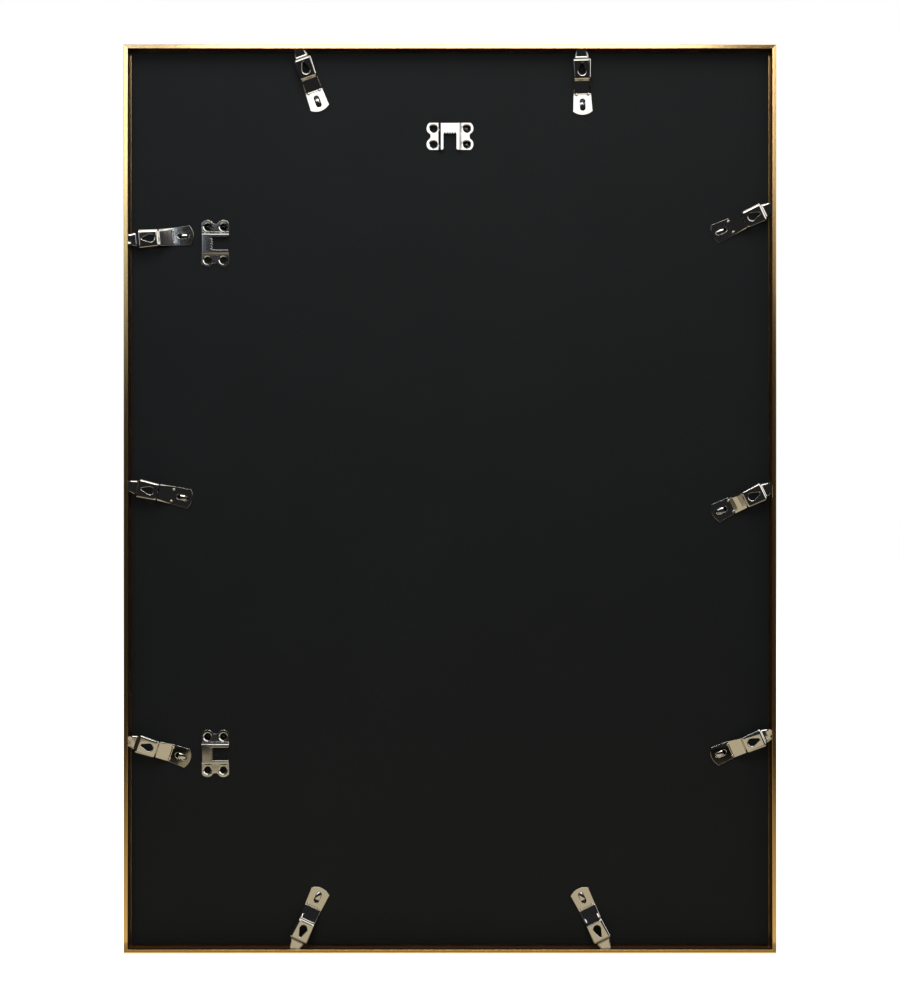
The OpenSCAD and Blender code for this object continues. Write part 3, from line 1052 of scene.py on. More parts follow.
@dataclass(frozen=True)
class PlainSteel(Finish):
    """Bare grey steel of the hidden corner keys."""

    colour: Colour = (0.36, 0.37, 0.38)
    dull: Colour = (0.26, 0.26, 0.26)
    grain_scale: float = 500.0
    roughness: Row = (0.35, 0.5)

    def dress(self, recipe: Recipe, effects: Effects) -> dict[str, Any]:
        """Lays a rolled grain over the steel.

        Args:
            recipe: The material's recipe.
            effects: The shared effects.

        Returns:
            The values or sockets, by the inputs' names.
        """
        place = recipe.coordinates()
        rolled = recipe.mask(effects.grain, Place=place, Scale=self.grain_scale, Contrast=2.0)
        return {
            "Base Color": recipe.blend(rolled, self.colour, self.dull), "Metallic": 1.0,
            "Roughness": recipe.spread(rolled, *self.roughness),
        }


@dataclass(frozen=True)
class ClearGlass(Finish):
    """Clear float glass with the faintest film of dust."""

    tint: Colour = (0.97, 0.985, 0.98)
    index: float = 1.5
    film: Row = (0.0, 0.05)

    def dress(self, recipe: Recipe, effects: Effects) -> dict[str, Any]:
        """Makes the glass, with its roughness raised where dust lies.

        Args:
            recipe: The material's recipe.
            effects: The shared effects.

        Returns:
            The values or sockets, by the inputs' names.
        """
        dust = recipe.mask(effects.dust, Place=recipe.coordinates(), Amount=0.5)
        return {
            "Base Color": self.tint, "IOR": self.index, "Transmission Weight": 1.0,
            "Roughness": recipe.spread(dust, *self.film),
        }


@dataclass(frozen=True)
class BlankPaper(Finish):
    """Uncoated off-white paper with a soft fibre."""

    colour: Colour = (0.83, 0.82, 0.78)
    fibre: Colour = (0.77, 0.75, 0.70)
    fibre_way: Place = (1.0, 1.0, 0.35)
    fibre_scale: float = 1100.0
    fibre_depth: float = 2e-5

    def dress(self, recipe: Recipe, effects: Effects) -> dict[str, Any]:
        """Lays fibres over the paper.

        Args:
            recipe: The material's recipe.
            effects: The shared effects.

        Returns:
            The values or sockets, by the inputs' names.
        """
        place = recipe.coordinates(self.fibre_way)
        fibres = recipe.mask(effects.grain, Place=place, Scale=self.fibre_scale, Contrast=2.0)
        return {
            "Base Color": recipe.blend(recipe.spread(fibres, 0.0, 0.6), self.colour, self.fibre),
            "Roughness": 0.85, "Normal": recipe.bump(fibres, self.fibre_depth),
        }


def dress_piece(piece: Object, finish: Material, body: str, slot: str, *nodes: str) -> Object:
    """Gives a new piece its finish and its body, and hides the nodes that it stands for.

    Args:
        piece: The finished piece.
        finish: Its material.
        body: The body that it rides on.
        slot: The record's material slot; not used.
        *nodes: The CAD nodes that it replaces.

    Returns:
        The piece.
    """
    if not piece.data.materials:
        piece.data.materials.append(finish)
    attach(piece, body)
    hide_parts(*nodes)
    return piece


@dataclass
class Rails:
    """The four gold rails: a hollow section with a clip groove and a front lip, mitred."""

    back_edge_w: float = 3.2
    outer_wall: float = 0.9
    inner_wall: float = 0.8
    groove_back: float = 1.2
    groove_h: float = 3.0
    lip: float = 1.5
    face_w: float = 8.0
    outer_round: float = 0.45
    lip_round: float = 0.3
    inner_round: float = 0.08
    slack: float = 0.2

    def section(self, name: str, length: float, depth: float) -> Object:
        """Makes a rail from its section.

        Args:
            name: The rail's name.
            length: Its outer length.
            depth: The frame's depth.

        Returns:
            The rail on the bench, its outer face up at zero height, its back towards -Y.
        """
        back, front = -depth / 2, depth / 2
        groove = (back + self.groove_back, back + self.groove_back + self.groove_h)
        hollow = (groove[1] + self.inner_wall, front - self.lip)
        web = self.back_edge_w - self.inner_wall
        rail = Bench.plate(name, (-self.face_w, back), (0, front))
        stood_up = Matrix.Rotation(math.radians(-90), 4, "Y")
        Bench.move(rail, Matrix.Translation((-length / 2, 0, 0)) @ stood_up)
        with Bench.editing(rail):
            for y in (*groove, *hollow):
                Bench.score((0, y, 0), (0, 1, 0))
            for z in (self.outer_wall, web, self.back_edge_w):
                Bench.score((0, 0, -z), (0, 0, 1))
            Bench.pick(rail, Part.FACES, lambda at, _: (
                (-at.z > self.back_edge_w and at.y < hollow[1])
                or (-at.z > self.outer_wall and groove[0] < at.y < groove[1])
                or (self.outer_wall < -at.z < web and hollow[0] < at.y < hollow[1])
            ))
            bpy.ops.mesh.delete(type="FACE")
            bpy.ops.mesh.select_all(action="SELECT")
            bpy.ops.mesh.dissolve_limited(
                angle_limit=math.radians(1), use_dissolve_boundaries=False
            )
            bpy.ops.mesh.select_all(action="SELECT")
            bpy.ops.mesh.extrude_region_move(TRANSFORM_OT_translate={"value": (length, 0, 0)})
            bpy.ops.mesh.select_all(action="SELECT")
            bpy.ops.mesh.normals_make_consistent(inside=False)
            self._round_edges(rail, front)
            for side in (-1, 1):
                Bench.score((side * length / 2, 0, 0), (side, 0, -1), drop_outer=True)
        return rail

    def _round_edges(self, rail: Object, front: float) -> None:
        """Rounds the long edges that a hand meets, and the inner edge of the back lip.

        Args:
            rail: The rail on the bench, in edit mode.
            front: How far its front lies from the middle.
        """
        def rounded(radius: float, test: Test) -> None:
            """Rounds the edges along the rail that pass a test.

            Args:
                radius: How wide the rounding is.
                test: Takes the middle of an edge and its direction.
            """
            Bench.pick(rail, Part.EDGES, lambda at, way: abs(way.x) > ALONG and test(at, way))
            bpy.ops.mesh.bevel(
                offset_type="OFFSET", offset=radius, segments=4, affect="EDGES", clamp_overlap=False
            )

        rounded(self.outer_round, lambda at, _: abs(abs(at.y) - front) < NEAR
                and (abs(at.z) < NEAR or abs(at.z + self.face_w) < NEAR))
        rounded(self.lip_round, lambda at, _: abs(at.y + front) < NEAR
                and abs(at.z + self.back_edge_w) < NEAR)

    def _mark_inner_shade(self, rail: Object, depth: float) -> None:
        """Gives the second finish, a gold darkened as painted shade, to the inner wall and the
        groove.

        Args:
            rail: The rail on the bench.
            depth: The frame's depth.
        """
        groove, near = self.groove_back - depth / 2, self.slack / 2
        with Bench.editing(rail):
            Bench.pick(rail, Part.FACES, lambda at, way: -at.z > self.outer_wall - self.slack and (
                way.z < -FACING
                or (abs(way.y) > FACING and groove - near < at.y < groove + self.groove_h + near)
            ) and at.y < depth / 2 - self.lip)
            rail.active_material_index = 1
            bpy.ops.object.material_slot_assign()

    def build(self, effects: Effects) -> list[Object]:
        """Makes both lengths of rail and sets two of each in place.

        Args:
            effects: The shared effects.

        Returns:
            The pieces.
        """
        low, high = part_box("rail_top")[0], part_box("rail_top")[1]
        side_low, side_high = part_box("rail_left")
        depth = (high.y - low.y) / MM
        # The inner walls and the groove take a gold darkened almost to black, as painted shade.
        inner_shade = InnerGoldPaintedShade("inner_gold_painted_shade").material(effects)
        pieces = []
        for grain, length, places in (
            (Grain.LEVEL, high.x - low.x, {
                "rail_top": (0, (0, 0, high.z)), "rail_bottom": (180, (0, 0, -high.z)),
            }),
            (Grain.UPRIGHT, side_high.z - side_low.z, {
                "rail_left": (-90, (side_low.x, 0, 0)), "rail_right": (90, (-side_low.x, 0, 0)),
            }),
        ):
            master = self.section(f"rail_master_{grain.name.lower()}", length / MM, depth)
            Bench.soften(master, self.inner_round, segments=2, angle=40)
            finish = SatinGold(f"satin_gold_{grain.name.lower()}", grain=grain).material(effects)
            master.data.materials.append(finish)
            master.data.materials.append(inner_shade)
            self._mark_inner_shade(master, depth)
            for node, (turn, place) in places.items():
                matrix = Matrix.Translation(place) @ Matrix.Rotation(math.radians(turn), 4, "Y")
                piece = Bench.place(master, f"{node}_gold", matrix)
                pieces.append(dress_piece(piece, finish, "frame", "gold_rail", node))
            Bench.clear(master)
        return pieces


@dataclass
class Clips:
    """The ten turning clips. Stations run from a clip's pivot towards its rail."""

    leans: dict[str, tuple[Side, float]] = field(default_factory=lambda: {
        "clip_top_left": (Side.TOP, 20), "clip_top_right": (Side.TOP, 2),
        "clip_left_upper": (Side.LEFT, 5), "clip_left_middle": (Side.LEFT, -13),
        "clip_left_lower": (Side.LEFT, -19), "clip_right_upper": (Side.RIGHT, 25),
        "clip_right_middle": (Side.RIGHT, 26), "clip_right_lower": (Side.RIGHT, 24),
        "clip_bottom_left": (Side.BOTTOM, -25), "clip_bottom_right": (Side.BOTTOM, 26),
    })
    thickness: float = 0.8
    foot_height: float = 0.3
    end: float = -8.5
    end_radius: float = 12.0
    bend: float = 7.8
    slope_end: Row = (18.3, 4.78)
    plate_start: Row = (19.6, 6.91)
    plate_end: Row = (33.5, 8.23)
    tongue_start: Row = (35.1, 6.86)
    tongue_end: Row = (43.8, 7.65)
    tip_radius: float = 4.2
    bow: tuple[Row, ...] = ((11.4, 1.76), (14.8, 3.3))
    bow_radius: float = 60.0
    valley_radius: float = 1.5
    root_radius: float = 2.8
    ridge_radius: float = 1.3
    front_radius: float = 1.4
    crease: Row = (7.1, 0.07)
    edge_round: float = 0.3
    drop_length: float = 9.4
    drop_radius: float = 2.95
    drop_tip: float = 1.0
    drop_depth: float = 4.0
    mouth: float = 0.55
    barrel: Row = (3.6, -2.7)
    barrel_rise: float = 0.3
    foot_disc: Row = (4.8, -2.1)
    opening: Row = (-5.1, 4.0)
    opening_radius: float = 2.1
    opening_floor: float = -1.2
    opening_mouth: float = 0.2
    tab_run: Row = (-4.7, 1.3)
    tab_radius: float = 15.0
    tab_turn: float = 0.35
    tab_width: float = 3.3
    tab_lift: float = 0.12
    tab_thickness: float = 1.6
    tab_skirt: float = 0.7
    panel_gap: float = 0.04
    tab_round: float = 0.16
    tab_crown: dict[float, float] = field(
        default_factory=lambda: {1.0: 0.3, 0.8: 0.19, 0.6: 0.11, 0.3: 0.03}
    )
    pip: Place = (1.3, 1.0, 0.45)
    pip_across: float = 4.6
    pip_inset: float = 0.2
    pip_lift: float = 0.05
    rim: dict[float, float] = field(
        default_factory=lambda: {1.0: 0.4, 0.93: 0.13, 0.86: 0.03}
    )
    rim_start: float = 1.0
    foot_rows: Row = (-4.5, 1.5)
    crease_run: float = 0.4
    slope_start: float = 0.7
    tip_fall: float = 0.38
    foot_widths: Row = (7.8, 6.95)
    slope_width: float = 6.15
    plate_width: float = 6.75
    tongue_widths: Row = (5.2, 4.17)
    corner_runs: Row = (0.2, 0.3)
    rows: tuple[float, ...] = (0.0, 0.15, 0.3, 0.45, 0.6, 0.75, 0.86, 0.93)

    @property
    def top(self) -> float:
        """Height of the foot's upper face."""
        return self.foot_height + self.thickness

    def sheet(self) -> BentSheet:
        """The clip's strip: its bends, its outline and its rows.

        Returns:
            The strip.
        """
        low, (crease, rise) = self.foot_height, self.crease
        tip = self.tongue_end[0] - self.tip_radius
        bends = [
            Bend(self.end, low), *(Bend(row, low) for row in self.foot_rows),
            Bend(crease, low), Bend(crease + self.crease_run, low + rise),
            Bend(self.bend + self.slope_start, low + rise, self.valley_radius),
            *(Bend(*row, self.bow_radius) for row in self.bow),
            Bend(*self.slope_end, self.valley_radius), Bend(*self.plate_start, self.ridge_radius),
            Bend(*self.plate_end, self.front_radius), Bend(*self.tongue_start, self.root_radius),
            Bend(tip, self.tongue_end[1] - self.tip_fall), Bend(*self.tongue_end),
        ]
        half_widths = [
            (self.end, self.foot_widths[0]), (self.bend, self.foot_widths[1]),
            (self.slope_end[0], self.slope_width), (self.plate_start[0], self.slope_width),
            (self.plate_end[0] + self.corner_runs[0], self.plate_width),
            (self.tongue_start[0] + self.corner_runs[1], self.tongue_widths[0]),
            (tip, self.tongue_widths[1]), (self.tongue_end[0], self.tongue_widths[1]),
        ]
        return BentSheet(bends, half_widths, self.rows, self.thickness)

    def drop_tool(self) -> Object:
        """The tool for the drop-shaped hole, with a rounded mouth, narrow towards the rail.

        Returns:
            The tool.
        """
        radii = (self.drop_radius, self.drop_tip)
        tool = Bench.wrapped("drop_tool", radii, self.drop_length, -self.drop_depth, -self.mouth)
        Bench.flare(tool, self.drop_radius, self.mouth)
        run = self.plate_end[0] - self.plate_start[0]
        tilt = math.atan2(self.plate_end[1] - self.plate_start[1], run)
        middle = ((self.plate_start[0] + self.plate_end[0]) / 2, 0,
                  (self.plate_start[1] + self.plate_end[1]) / 2 + self.thickness / math.cos(tilt))
        Bench.move(tool, Matrix.Translation(middle) @ Matrix.Rotation(-tilt, 4, "Y"))
        return tool

    def opening_tool(self) -> Object:
        """The tool for the opening that was lanced in the foot, with a rounded mouth.

        Returns:
            The tool.
        """
        radius, (start, end), mouth = self.opening_radius, self.opening, self.opening_mouth
        floor = self.opening_floor - self.top
        tool = Bench.wrapped("opening_tool", (radius, radius), end - start, floor, -mouth)
        Bench.flare(tool, radius, mouth)
        Bench.move(tool, Matrix.Translation(((start + end) / 2, 0, self.top)))
        return tool

    def tab(self) -> Object:
        """The curved tab in the opening, which dips to the foot's end but clears the panel.

        Returns:
            The tab.
        """
        start, crest = self.tab_run
        low = self.top + self.tab_lift - self.tab_thickness
        dip = self.tab_radius * (1 - math.cos(self.tab_turn))
        corner = start + dip / math.tan(self.tab_turn)
        # A hair under the full radius, so that the arc ends within the tab's run.
        radius = self.tab_radius * 0.999
        bends = [Bend(start, low - dip), Bend(corner, low, radius), Bend(crest, low)]
        half = self.tab_width / 2
        rows = (0.0, *sorted(share for share in self.tab_crown if share < 1))
        widths = [(start, half), (crest, half)]
        strip = BentSheet(bends, widths, rows, self.tab_thickness, arc_steps=8)
        tab = strip.build("tab")
        strip.drop_rows(tab, self.tab_crown, start - 2 * PAST, start - PAST)
        strip.thicken(tab)
        Bench.soften(tab, self.tab_round, segments=2, angle=60)
        reach = math.sqrt(self.barrel[0] ** 2 - (half + self.tab_skirt) ** 2) - self.panel_gap
        under = Bench.block("under", (start - PAST, -half - PAST, low - dip - PAST),
                            (-reach, half + PAST, self.panel_gap))
        Bench.join(tab, under, Join.CUT)
        return tab

    def master(self) -> Object:
        """Shapes one clip on the bench, its pivot at the origin and its rail towards +X.

        Returns:
            The clip.
        """
        sheet = self.sheet()
        clip = sheet.build("clip_master")
        sheet.drop_rows(clip, self.rim, self.bend + self.rim_start, self.plate_start[0])
        for end, radius in ((self.end, -self.end_radius), (self.tongue_end[0], self.tip_radius)):
            sheet.round_end(clip, end, end - radius, abs(radius))
        sheet.thicken(clip)
        Bench.soften(clip, self.edge_round, segments=3, angle=60)
        radius, low = self.barrel
        barrel = Bench.drum("barrel", radius, low, self.foot_height + self.barrel_rise)
        Bench.join(clip, barrel, Join.ADD)
        Bench.join(clip, Bench.drum("clinch", self.foot_disc[0], low, self.foot_disc[1]), Join.ADD)
        for side in (-1, 1):
            centre = (self.bend - self.pip_inset, side * self.pip_across, self.top + self.pip_lift)
            Bench.join(clip, Bench.ball("pip", self.pip, centre), Join.ADD)
        Bench.join(clip, self.opening_tool(), Join.CUT)
        Bench.join(clip, self.tab(), Join.ADD)
        Bench.join(clip, self.drop_tool(), Join.CUT)
        Bench.tidy(clip)
        return clip

    def build(self, effects: Effects) -> list[Object]:
        """Makes one clip and sets a copy of it on each joint.

        Args:
            effects: The shared effects.

        Returns:
            The pieces.
        """
        master = self.master()
        finish = PolishedNickel("polished_nickel").material(effects)
        pivots = {joint["child"]: Vector(joint["pos_m"]) for joint in frame["joints"]}
        pieces = []
        for node, (side, lean) in self.leans.items():
            turn = Matrix.Rotation(-math.radians(side.value + lean), 4, "Y")
            matrix = Matrix.Translation(pivots[node]) @ turn @ Matrix.Rotation(math.pi / 2, 4, "X")
            piece = Bench.place(master, f"{node}_formed", matrix)
            pieces.append(dress_piece(piece, finish, node, "clip_steel", node))
        Bench.clear(master)
        return pieces


@dataclass
class Hangers:
    """The three pressed hanger plates. X runs along a plate and its crossbar is towards +Y."""

    turns: dict[str, float] = field(default_factory=lambda: {
        "hanger_top": 0, "hanger_side_upper": 90, "hanger_side_lower": 90,
    })
    length: float = 37.0
    height: float = 21.5
    thickness: float = 1.0
    pitch: Row = (26.1, 12.4)
    raised_w: float = 15.6
    raised_h: float = 1.8
    fold: float = 1.6
    slot_w: float = 10.0
    slot_top: float = 3.15
    teeth: int = 5
    tooth_depth: float = 1.8
    lobe_radius: float = 5.45
    hollow_radius: float = 3.2
    waist: float = 15.5
    leg_corner: float = 0.8
    bore: float = 2.5
    mouth: float = 3.6
    mouth_flare: float = 0.3
    burr: Row = (2.95, -2.2)
    burr_top: float = 0.5
    tool_run: Row = (-1.0, 5.0)
    bar_round: float = 0.8
    edge_round: float = 0.25
    fold_rounds: Row = (1.3, 0.3)
    funnel: tuple[Row, ...] = ((0.0, -1.1), (0.12, -0.8), (0.38, -0.5), (0.72, -0.22))

    def sheet(self) -> BentSheet:
        """The plate's strip, bent up to its raised middle.

        Returns:
            The strip.
        """
        half, (valley, ridge) = self.length / 2, self.fold_rounds
        inner, outer = (self.raised_w - self.fold) / 2, (self.raised_w + self.fold) / 2
        bends = [
            Bend(-half, 0), Bend(-outer, 0, valley), Bend(-inner, self.raised_h, ridge),
            Bend(0, self.raised_h),
            Bend(inner, self.raised_h, ridge), Bend(outer, 0, valley), Bend(half, 0),
        ]
        side = self.height / 2
        return BentSheet(bends, [(-half, side), (half, side)], (0.0,), self.thickness)

    def outline_tool(self) -> Object:
        """The plate's outline as an upright block with four round lobes.

        Returns:
            The tool.
        """
        half_l, half_h = self.pitch[0] / 2, self.pitch[1] / 2
        low, high = self.tool_run
        tool = Bench.block("outline", (-half_l, -self.height, low), (half_l, self.height, high))
        waist = Bench.block("waist", (-self.waist, -half_h, low), (self.waist, half_h, high))
        Bench.join(tool, waist, Join.ADD)
        for x in (-half_l, half_l):
            for y in (-half_h, half_h):
                lobe = Bench.drum("lobe", self.lobe_radius, low, high, (x, y), sides=56)
                Bench.join(tool, lobe, Join.ADD)
        for side in (-1, 1):
            centre = (side * (self.waist + self.hollow_radius), 0)
            hollow = Bench.drum("hollow", self.hollow_radius, low - PAST, high + PAST, centre, 40)
            Bench.join(tool, hollow, Join.CUT)
        return tool

    def slot_tool(self) -> Object:
        """The tool for the hanging slot, toothed at its top and wider at the legs' ends.

        Returns:
            The tool.
        """
        half, foot, reach = self.slot_w / 2, -self.height / 2, PAST
        top = self.slot_top - self.tooth_depth
        low, high = self.tool_run
        tool = Bench.block("slot", (-half, foot - reach, low), (half, top, high))
        pitch = self.slot_w / self.teeth
        with Bench.editing(tool):
            for step in range(1, 2 * self.teeth):
                Bench.score((-half + step * pitch / 2, 0, 0), (1, 0, 0))
            Bench.score((0, foot + self.leg_corner, 0), (0, 1, 0))
            for tooth in range(self.teeth):
                at = -half + (tooth + 0.5) * pitch
                Bench.pick(tool, Part.POINTS,
                           lambda p, _, x=at: abs(p.x - x) < NEAR and p.y > top - NEAR)
                bpy.ops.transform.translate(value=(0, self.tooth_depth, 0))
            Bench.pick(tool, Part.POINTS, lambda p, _: p.y < foot - reach + NEAR)
            wide = (half + reach + self.leg_corner) / half
            bpy.ops.transform.resize(value=(wide, 1, 1), center_override=(0, foot - reach, 0))
        return tool

    def burr_tool(self, place: Row) -> Object:
        """The tool for a burr's bore, with its mouth drawn in as a funnel.

        Args:
            place: The burr's middle on the plate.

        Returns:
            The tool.
        """
        rows = [
            (self.bore, self.burr[1] - PAST), *((self.bore + more, at) for more, at in self.funnel),
            (self.mouth, 0.0), (self.mouth + self.mouth_flare, PAST),
        ]
        tool = Bench.turned("burr_tool", rows)
        Bench.move(tool, Matrix.Translation((*place, self.thickness)))
        return tool

    def master(self) -> Object:
        """Shapes one hanger plate on the bench.

        Returns:
            The plate.
        """
        sheet = self.sheet()
        plate = sheet.build("hanger_master")
        sheet.thicken(plate)
        with Bench.editing(plate):
            Bench.pick(plate, Part.EDGES, lambda at, way: (
                abs(way.x) > ALONG and at.y > self.height / 2 - NEAR
                and at.z > self.raised_h + self.thickness - NEAR
            ))
            bpy.ops.mesh.bevel(
                offset_type="OFFSET", offset=self.bar_round, segments=4, affect="EDGES"
            )
        Bench.join(plate, self.outline_tool(), Join.KEEP)
        Bench.join(plate, self.slot_tool(), Join.CUT)
        Bench.tidy(plate)
        Bench.soften(plate, self.edge_round, segments=2, angle=50)
        burrs = [(x, y) for x in (-self.pitch[0] / 2, self.pitch[0] / 2)
                 for y in (-self.pitch[1] / 2, self.pitch[1] / 2)]
        for place in burrs:
            Bench.join(plate, Bench.drum("burr", *self.burr, self.burr_top, place, 40), Join.ADD)
        for place in burrs:
            Bench.join(plate, self.burr_tool(place), Join.CUT)
        return plate

    def build(self, effects: Effects) -> list[Object]:
        """Makes one plate and sets a copy of it where each hanger is.

        Args:
            effects: The shared effects.

        Returns:
            The pieces.
        """
        master = self.master()
        finish = ZincSteel("zinc_steel").material(effects)
        panel_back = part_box("back_panel")[0].y
        pieces = []
        for node, turn in self.turns.items():
            low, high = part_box(node)
            middle = (low + high) / 2
            spot = Matrix.Translation((middle.x, panel_back, middle.z))
            turned = Matrix.Rotation(-math.radians(turn), 4, "Y")
            matrix = spot @ turned @ Matrix.Rotation(math.pi / 2, 4, "X")
            piece = Bench.place(master, f"{node}_pressed", matrix)
            pieces.append(dress_piece(piece, finish, "frame", "hanger_steel", node))
        Bench.clear(master)
        return pieces


@dataclass
class Glazing:
    """The glass pane, with seamed edges, a hair clear of the sheet behind it."""

    gap: float = 0.03
    seam: float = 0.25

    def build(self, effects: Effects) -> list[Object]:
        """Shapes the pane on the bench and sets it in its place.

        Args:
            effects: The shared effects.

        Returns:
            The pane, alone in a list.
        """
        low, high = (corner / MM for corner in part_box("glazing"))
        master = Bench.block("pane_master", low + Vector((0, self.gap, 0)), high)
        Bench.soften(master, self.seam, segments=2, angle=60)
        piece = Bench.place(master, "glazing_pane", Matrix())
        Bench.clear(master)
        finish = ClearGlass("clear_glass").material(effects)
        return [dress_piece(piece, finish, "frame", "clear_glass", "glazing")]


@dataclass
class Sheets:
    """The CAD nodes whose shape is right and that only take a finish."""

    finishes: tuple[tuple[Finish, tuple[str, ...]], ...] = (
        (BlackBoard("black_board"), ("back_panel",)),
        (BlankPaper("blank_paper"), ("picture_sheet",)),
        (PlainSteel("plain_steel"), (
            "corner_key_top_left", "corner_key_top_right",
            "corner_key_bottom_left", "corner_key_bottom_right",
        )),
    )

    def build(self, effects: Effects) -> list[Object]:
        """Puts each finish in the material slots of its nodes.

        Args:
            effects: The shared effects.

        Returns:
            The pieces.
        """
        pieces = []
        for finish, nodes in self.finishes:
            material = finish.material(effects)
            for node in nodes:
                piece = frame["nodes"][node]
                if not piece.material_slots:
                    piece.data.materials.append(material)
                for holder in piece.material_slots:
                    holder.material = material
                pieces.append(piece)
        return pieces


@dataclass
class Card:
    """A card of the studio that only polished surfaces see: its corners, its glow and its fade."""

    name: str
    low: Place
    high: Place
    glow: Colour
    strength: float
    fade: float = 0.0


@dataclass
class Studio:
    """A pale floor, two soft lamps, the room that the metal mirrors, and the camera."""

    camera_distance: float = 1.48
    camera_height: float = 0.075
    lens: float = 68.35
    shift: float = -0.0971
    floor_size: float = 16.0
    floor_colour: Colour = (0.34, 0.34, 0.34)
    floor_glow: float = 0.98
    ambient: float = 0.045
    lamp_place: Place = (-0.3, -1.2, 1.7)
    lamp_size: float = 1.4
    lamp_power: float = 60.0
    fill_place: Place = (1.0, 1.9, 1.6)
    fill_size: float = 1.2
    fill_power: float = 45.0
    room_radius: float = 3.4
    card_lifts: Row = (0.001, 0.0013)
    room_lift: float = 0.0005
    room_end: float = -0.012
    room_cap: float = 0.999
    floor_drop: float = 0.0001
    grey_turn: Row = (28.0, 46.0)
    grey_lift: Row = (0.05, 0.35)
    bright_turn: Row = (28.0, 36.0)
    edge_turn: Row = (42.0, 60.0)
    edge_drop: Row = (-0.85, -0.2)
    edge_blur: Row = (-0.1, 0.1)
    room_dark: Colour = (0.022, 0.022, 0.024)
    room_grey: Colour = (0.12, 0.11, 0.125)
    room_bright: Colour = (1.7, 1.7, 1.67)

    def build(self) -> None:
        """Sets up the whole stage."""
        foot = cad_box[0].z - self.floor_drop
        self._world()
        self._floor(foot)
        self._room(foot)
        for card in self.cards(foot):
            self._card(card)
        self._lamp("soft_lamp", self.lamp_place, self.lamp_size, self.lamp_power)
        self._lamp("fill_lamp", self.fill_place, self.fill_size, self.fill_power)
        self._camera()
        bpy.context.scene.view_settings.view_transform = "Standard"

    def cards(self, foot: float) -> list[Card]:
        """The bright window and ceiling, their dim sides, and the pale table before the frame.

        Args:
            foot: The floor's height.

        Returns:
            The cards.
        """
        level, above = (foot + lift for lift in self.card_lifts)
        return [
            Card("window_card", (-0.62, -3.0, 0.57), (0.62, -3.0, 0.83), WINDOW, 1.8),
            Card("upper_card", (-0.6, -3.0, 0.83), (0.58, -3.0, 1.32), WINDOW, 6.5),
            Card("left_card", (-1.5, -3.0, 0.0), (-0.65, -3.0, 0.68), COOL, 2.5, 2.0),
            Card("corner_card", (-1.5, -3.0, 0.68), (-0.72, -3.0, 1.1), COOL, 2.2),
            Card("right_card", (0.7, -3.0, 0.33), (1.5, -3.0, 0.8), WARM, 0.42),
            Card("ceiling_card", (-0.65, -1.7, 1.55), (0.65, -0.5, 1.55), PALE, 1.4),
            Card("table_near", (-0.7, -0.035, level), (0.7, -0.0088, level), TABLE, 0.45),
            Card("table_card", (-0.26, -0.64, level), (0.26, -0.035, level), TABLE, 1.0),
            Card("table_left", (-0.32, -0.7, above), (0.05, -0.64, above), TABLE, 1.0),
            Card("table_right", (0.19, -0.7, level), (0.26, -0.64, level), TABLE, 1.0),
            Card("table_edge", (-0.32, -0.84, above), (0.05, -0.7, above), TABLE, 0.5),
            Card("side_left", (-0.7, -0.87, level), (-0.26, -0.035, level), TABLE, 1.0, 1.4),
            Card("side_right", (0.26, -0.87, level), (0.7, -0.035, level), TABLE, 1.0, 1.4),
        ]

    @staticmethod
    def _seen_by_metal_only(thing: Object) -> None:
        """Hides a stage piece from all but reflections.

        Args:
            thing: The stage piece.
        """
        thing.visible_camera = thing.visible_diffuse = thing.visible_transmission = False
        thing.visible_shadow = thing.visible_volume_scatter = False

    @staticmethod
    def _glow(name: str) -> tuple[Material, Recipe, Node]:
        """Starts a material that only glows.

        Args:
            name: The material's name.

        Returns:
            The material, its recipe and its glowing node.
        """
        made = bpy.data.materials.new(name)
        recipe = Recipe.empty(made)
        glow = recipe.add("Emission")
        recipe.add("OutputMaterial", {"Surface": glow.outputs[0]})
        return made, recipe, glow

    def _card(self, card: Card) -> None:
        """Adds one card.

        Args:
            card: The card.
        """
        low, high = Vector(card.low), Vector(card.high)
        level = abs(high.z - low.z) < NEAR
        bpy.ops.mesh.primitive_plane_add(
            size=1, location=(low + high) / 2, rotation=(0 if level else math.pi / 2, 0, 0)
        )
        piece = bpy.context.active_object
        piece.name = card.name
        piece.scale = (high.x - low.x, high.y - low.y if level else high.z - low.z, 1)
        material, recipe, glow = self._glow(card.name)
        place = recipe.add("SeparateXYZ", {0: recipe.add("TexCoord").outputs["Object"]})
        height = recipe.math("ADD", place.outputs["Y"], 0.5)
        faded = recipe.math("POWER", height, card.fade)
        strength = recipe.math("MULTIPLY", faded, card.strength)
        recipe.feed(glow, {"Color": card.glow, "Strength": strength})
        piece.data.materials.append(material)
        self._seen_by_metal_only(piece)

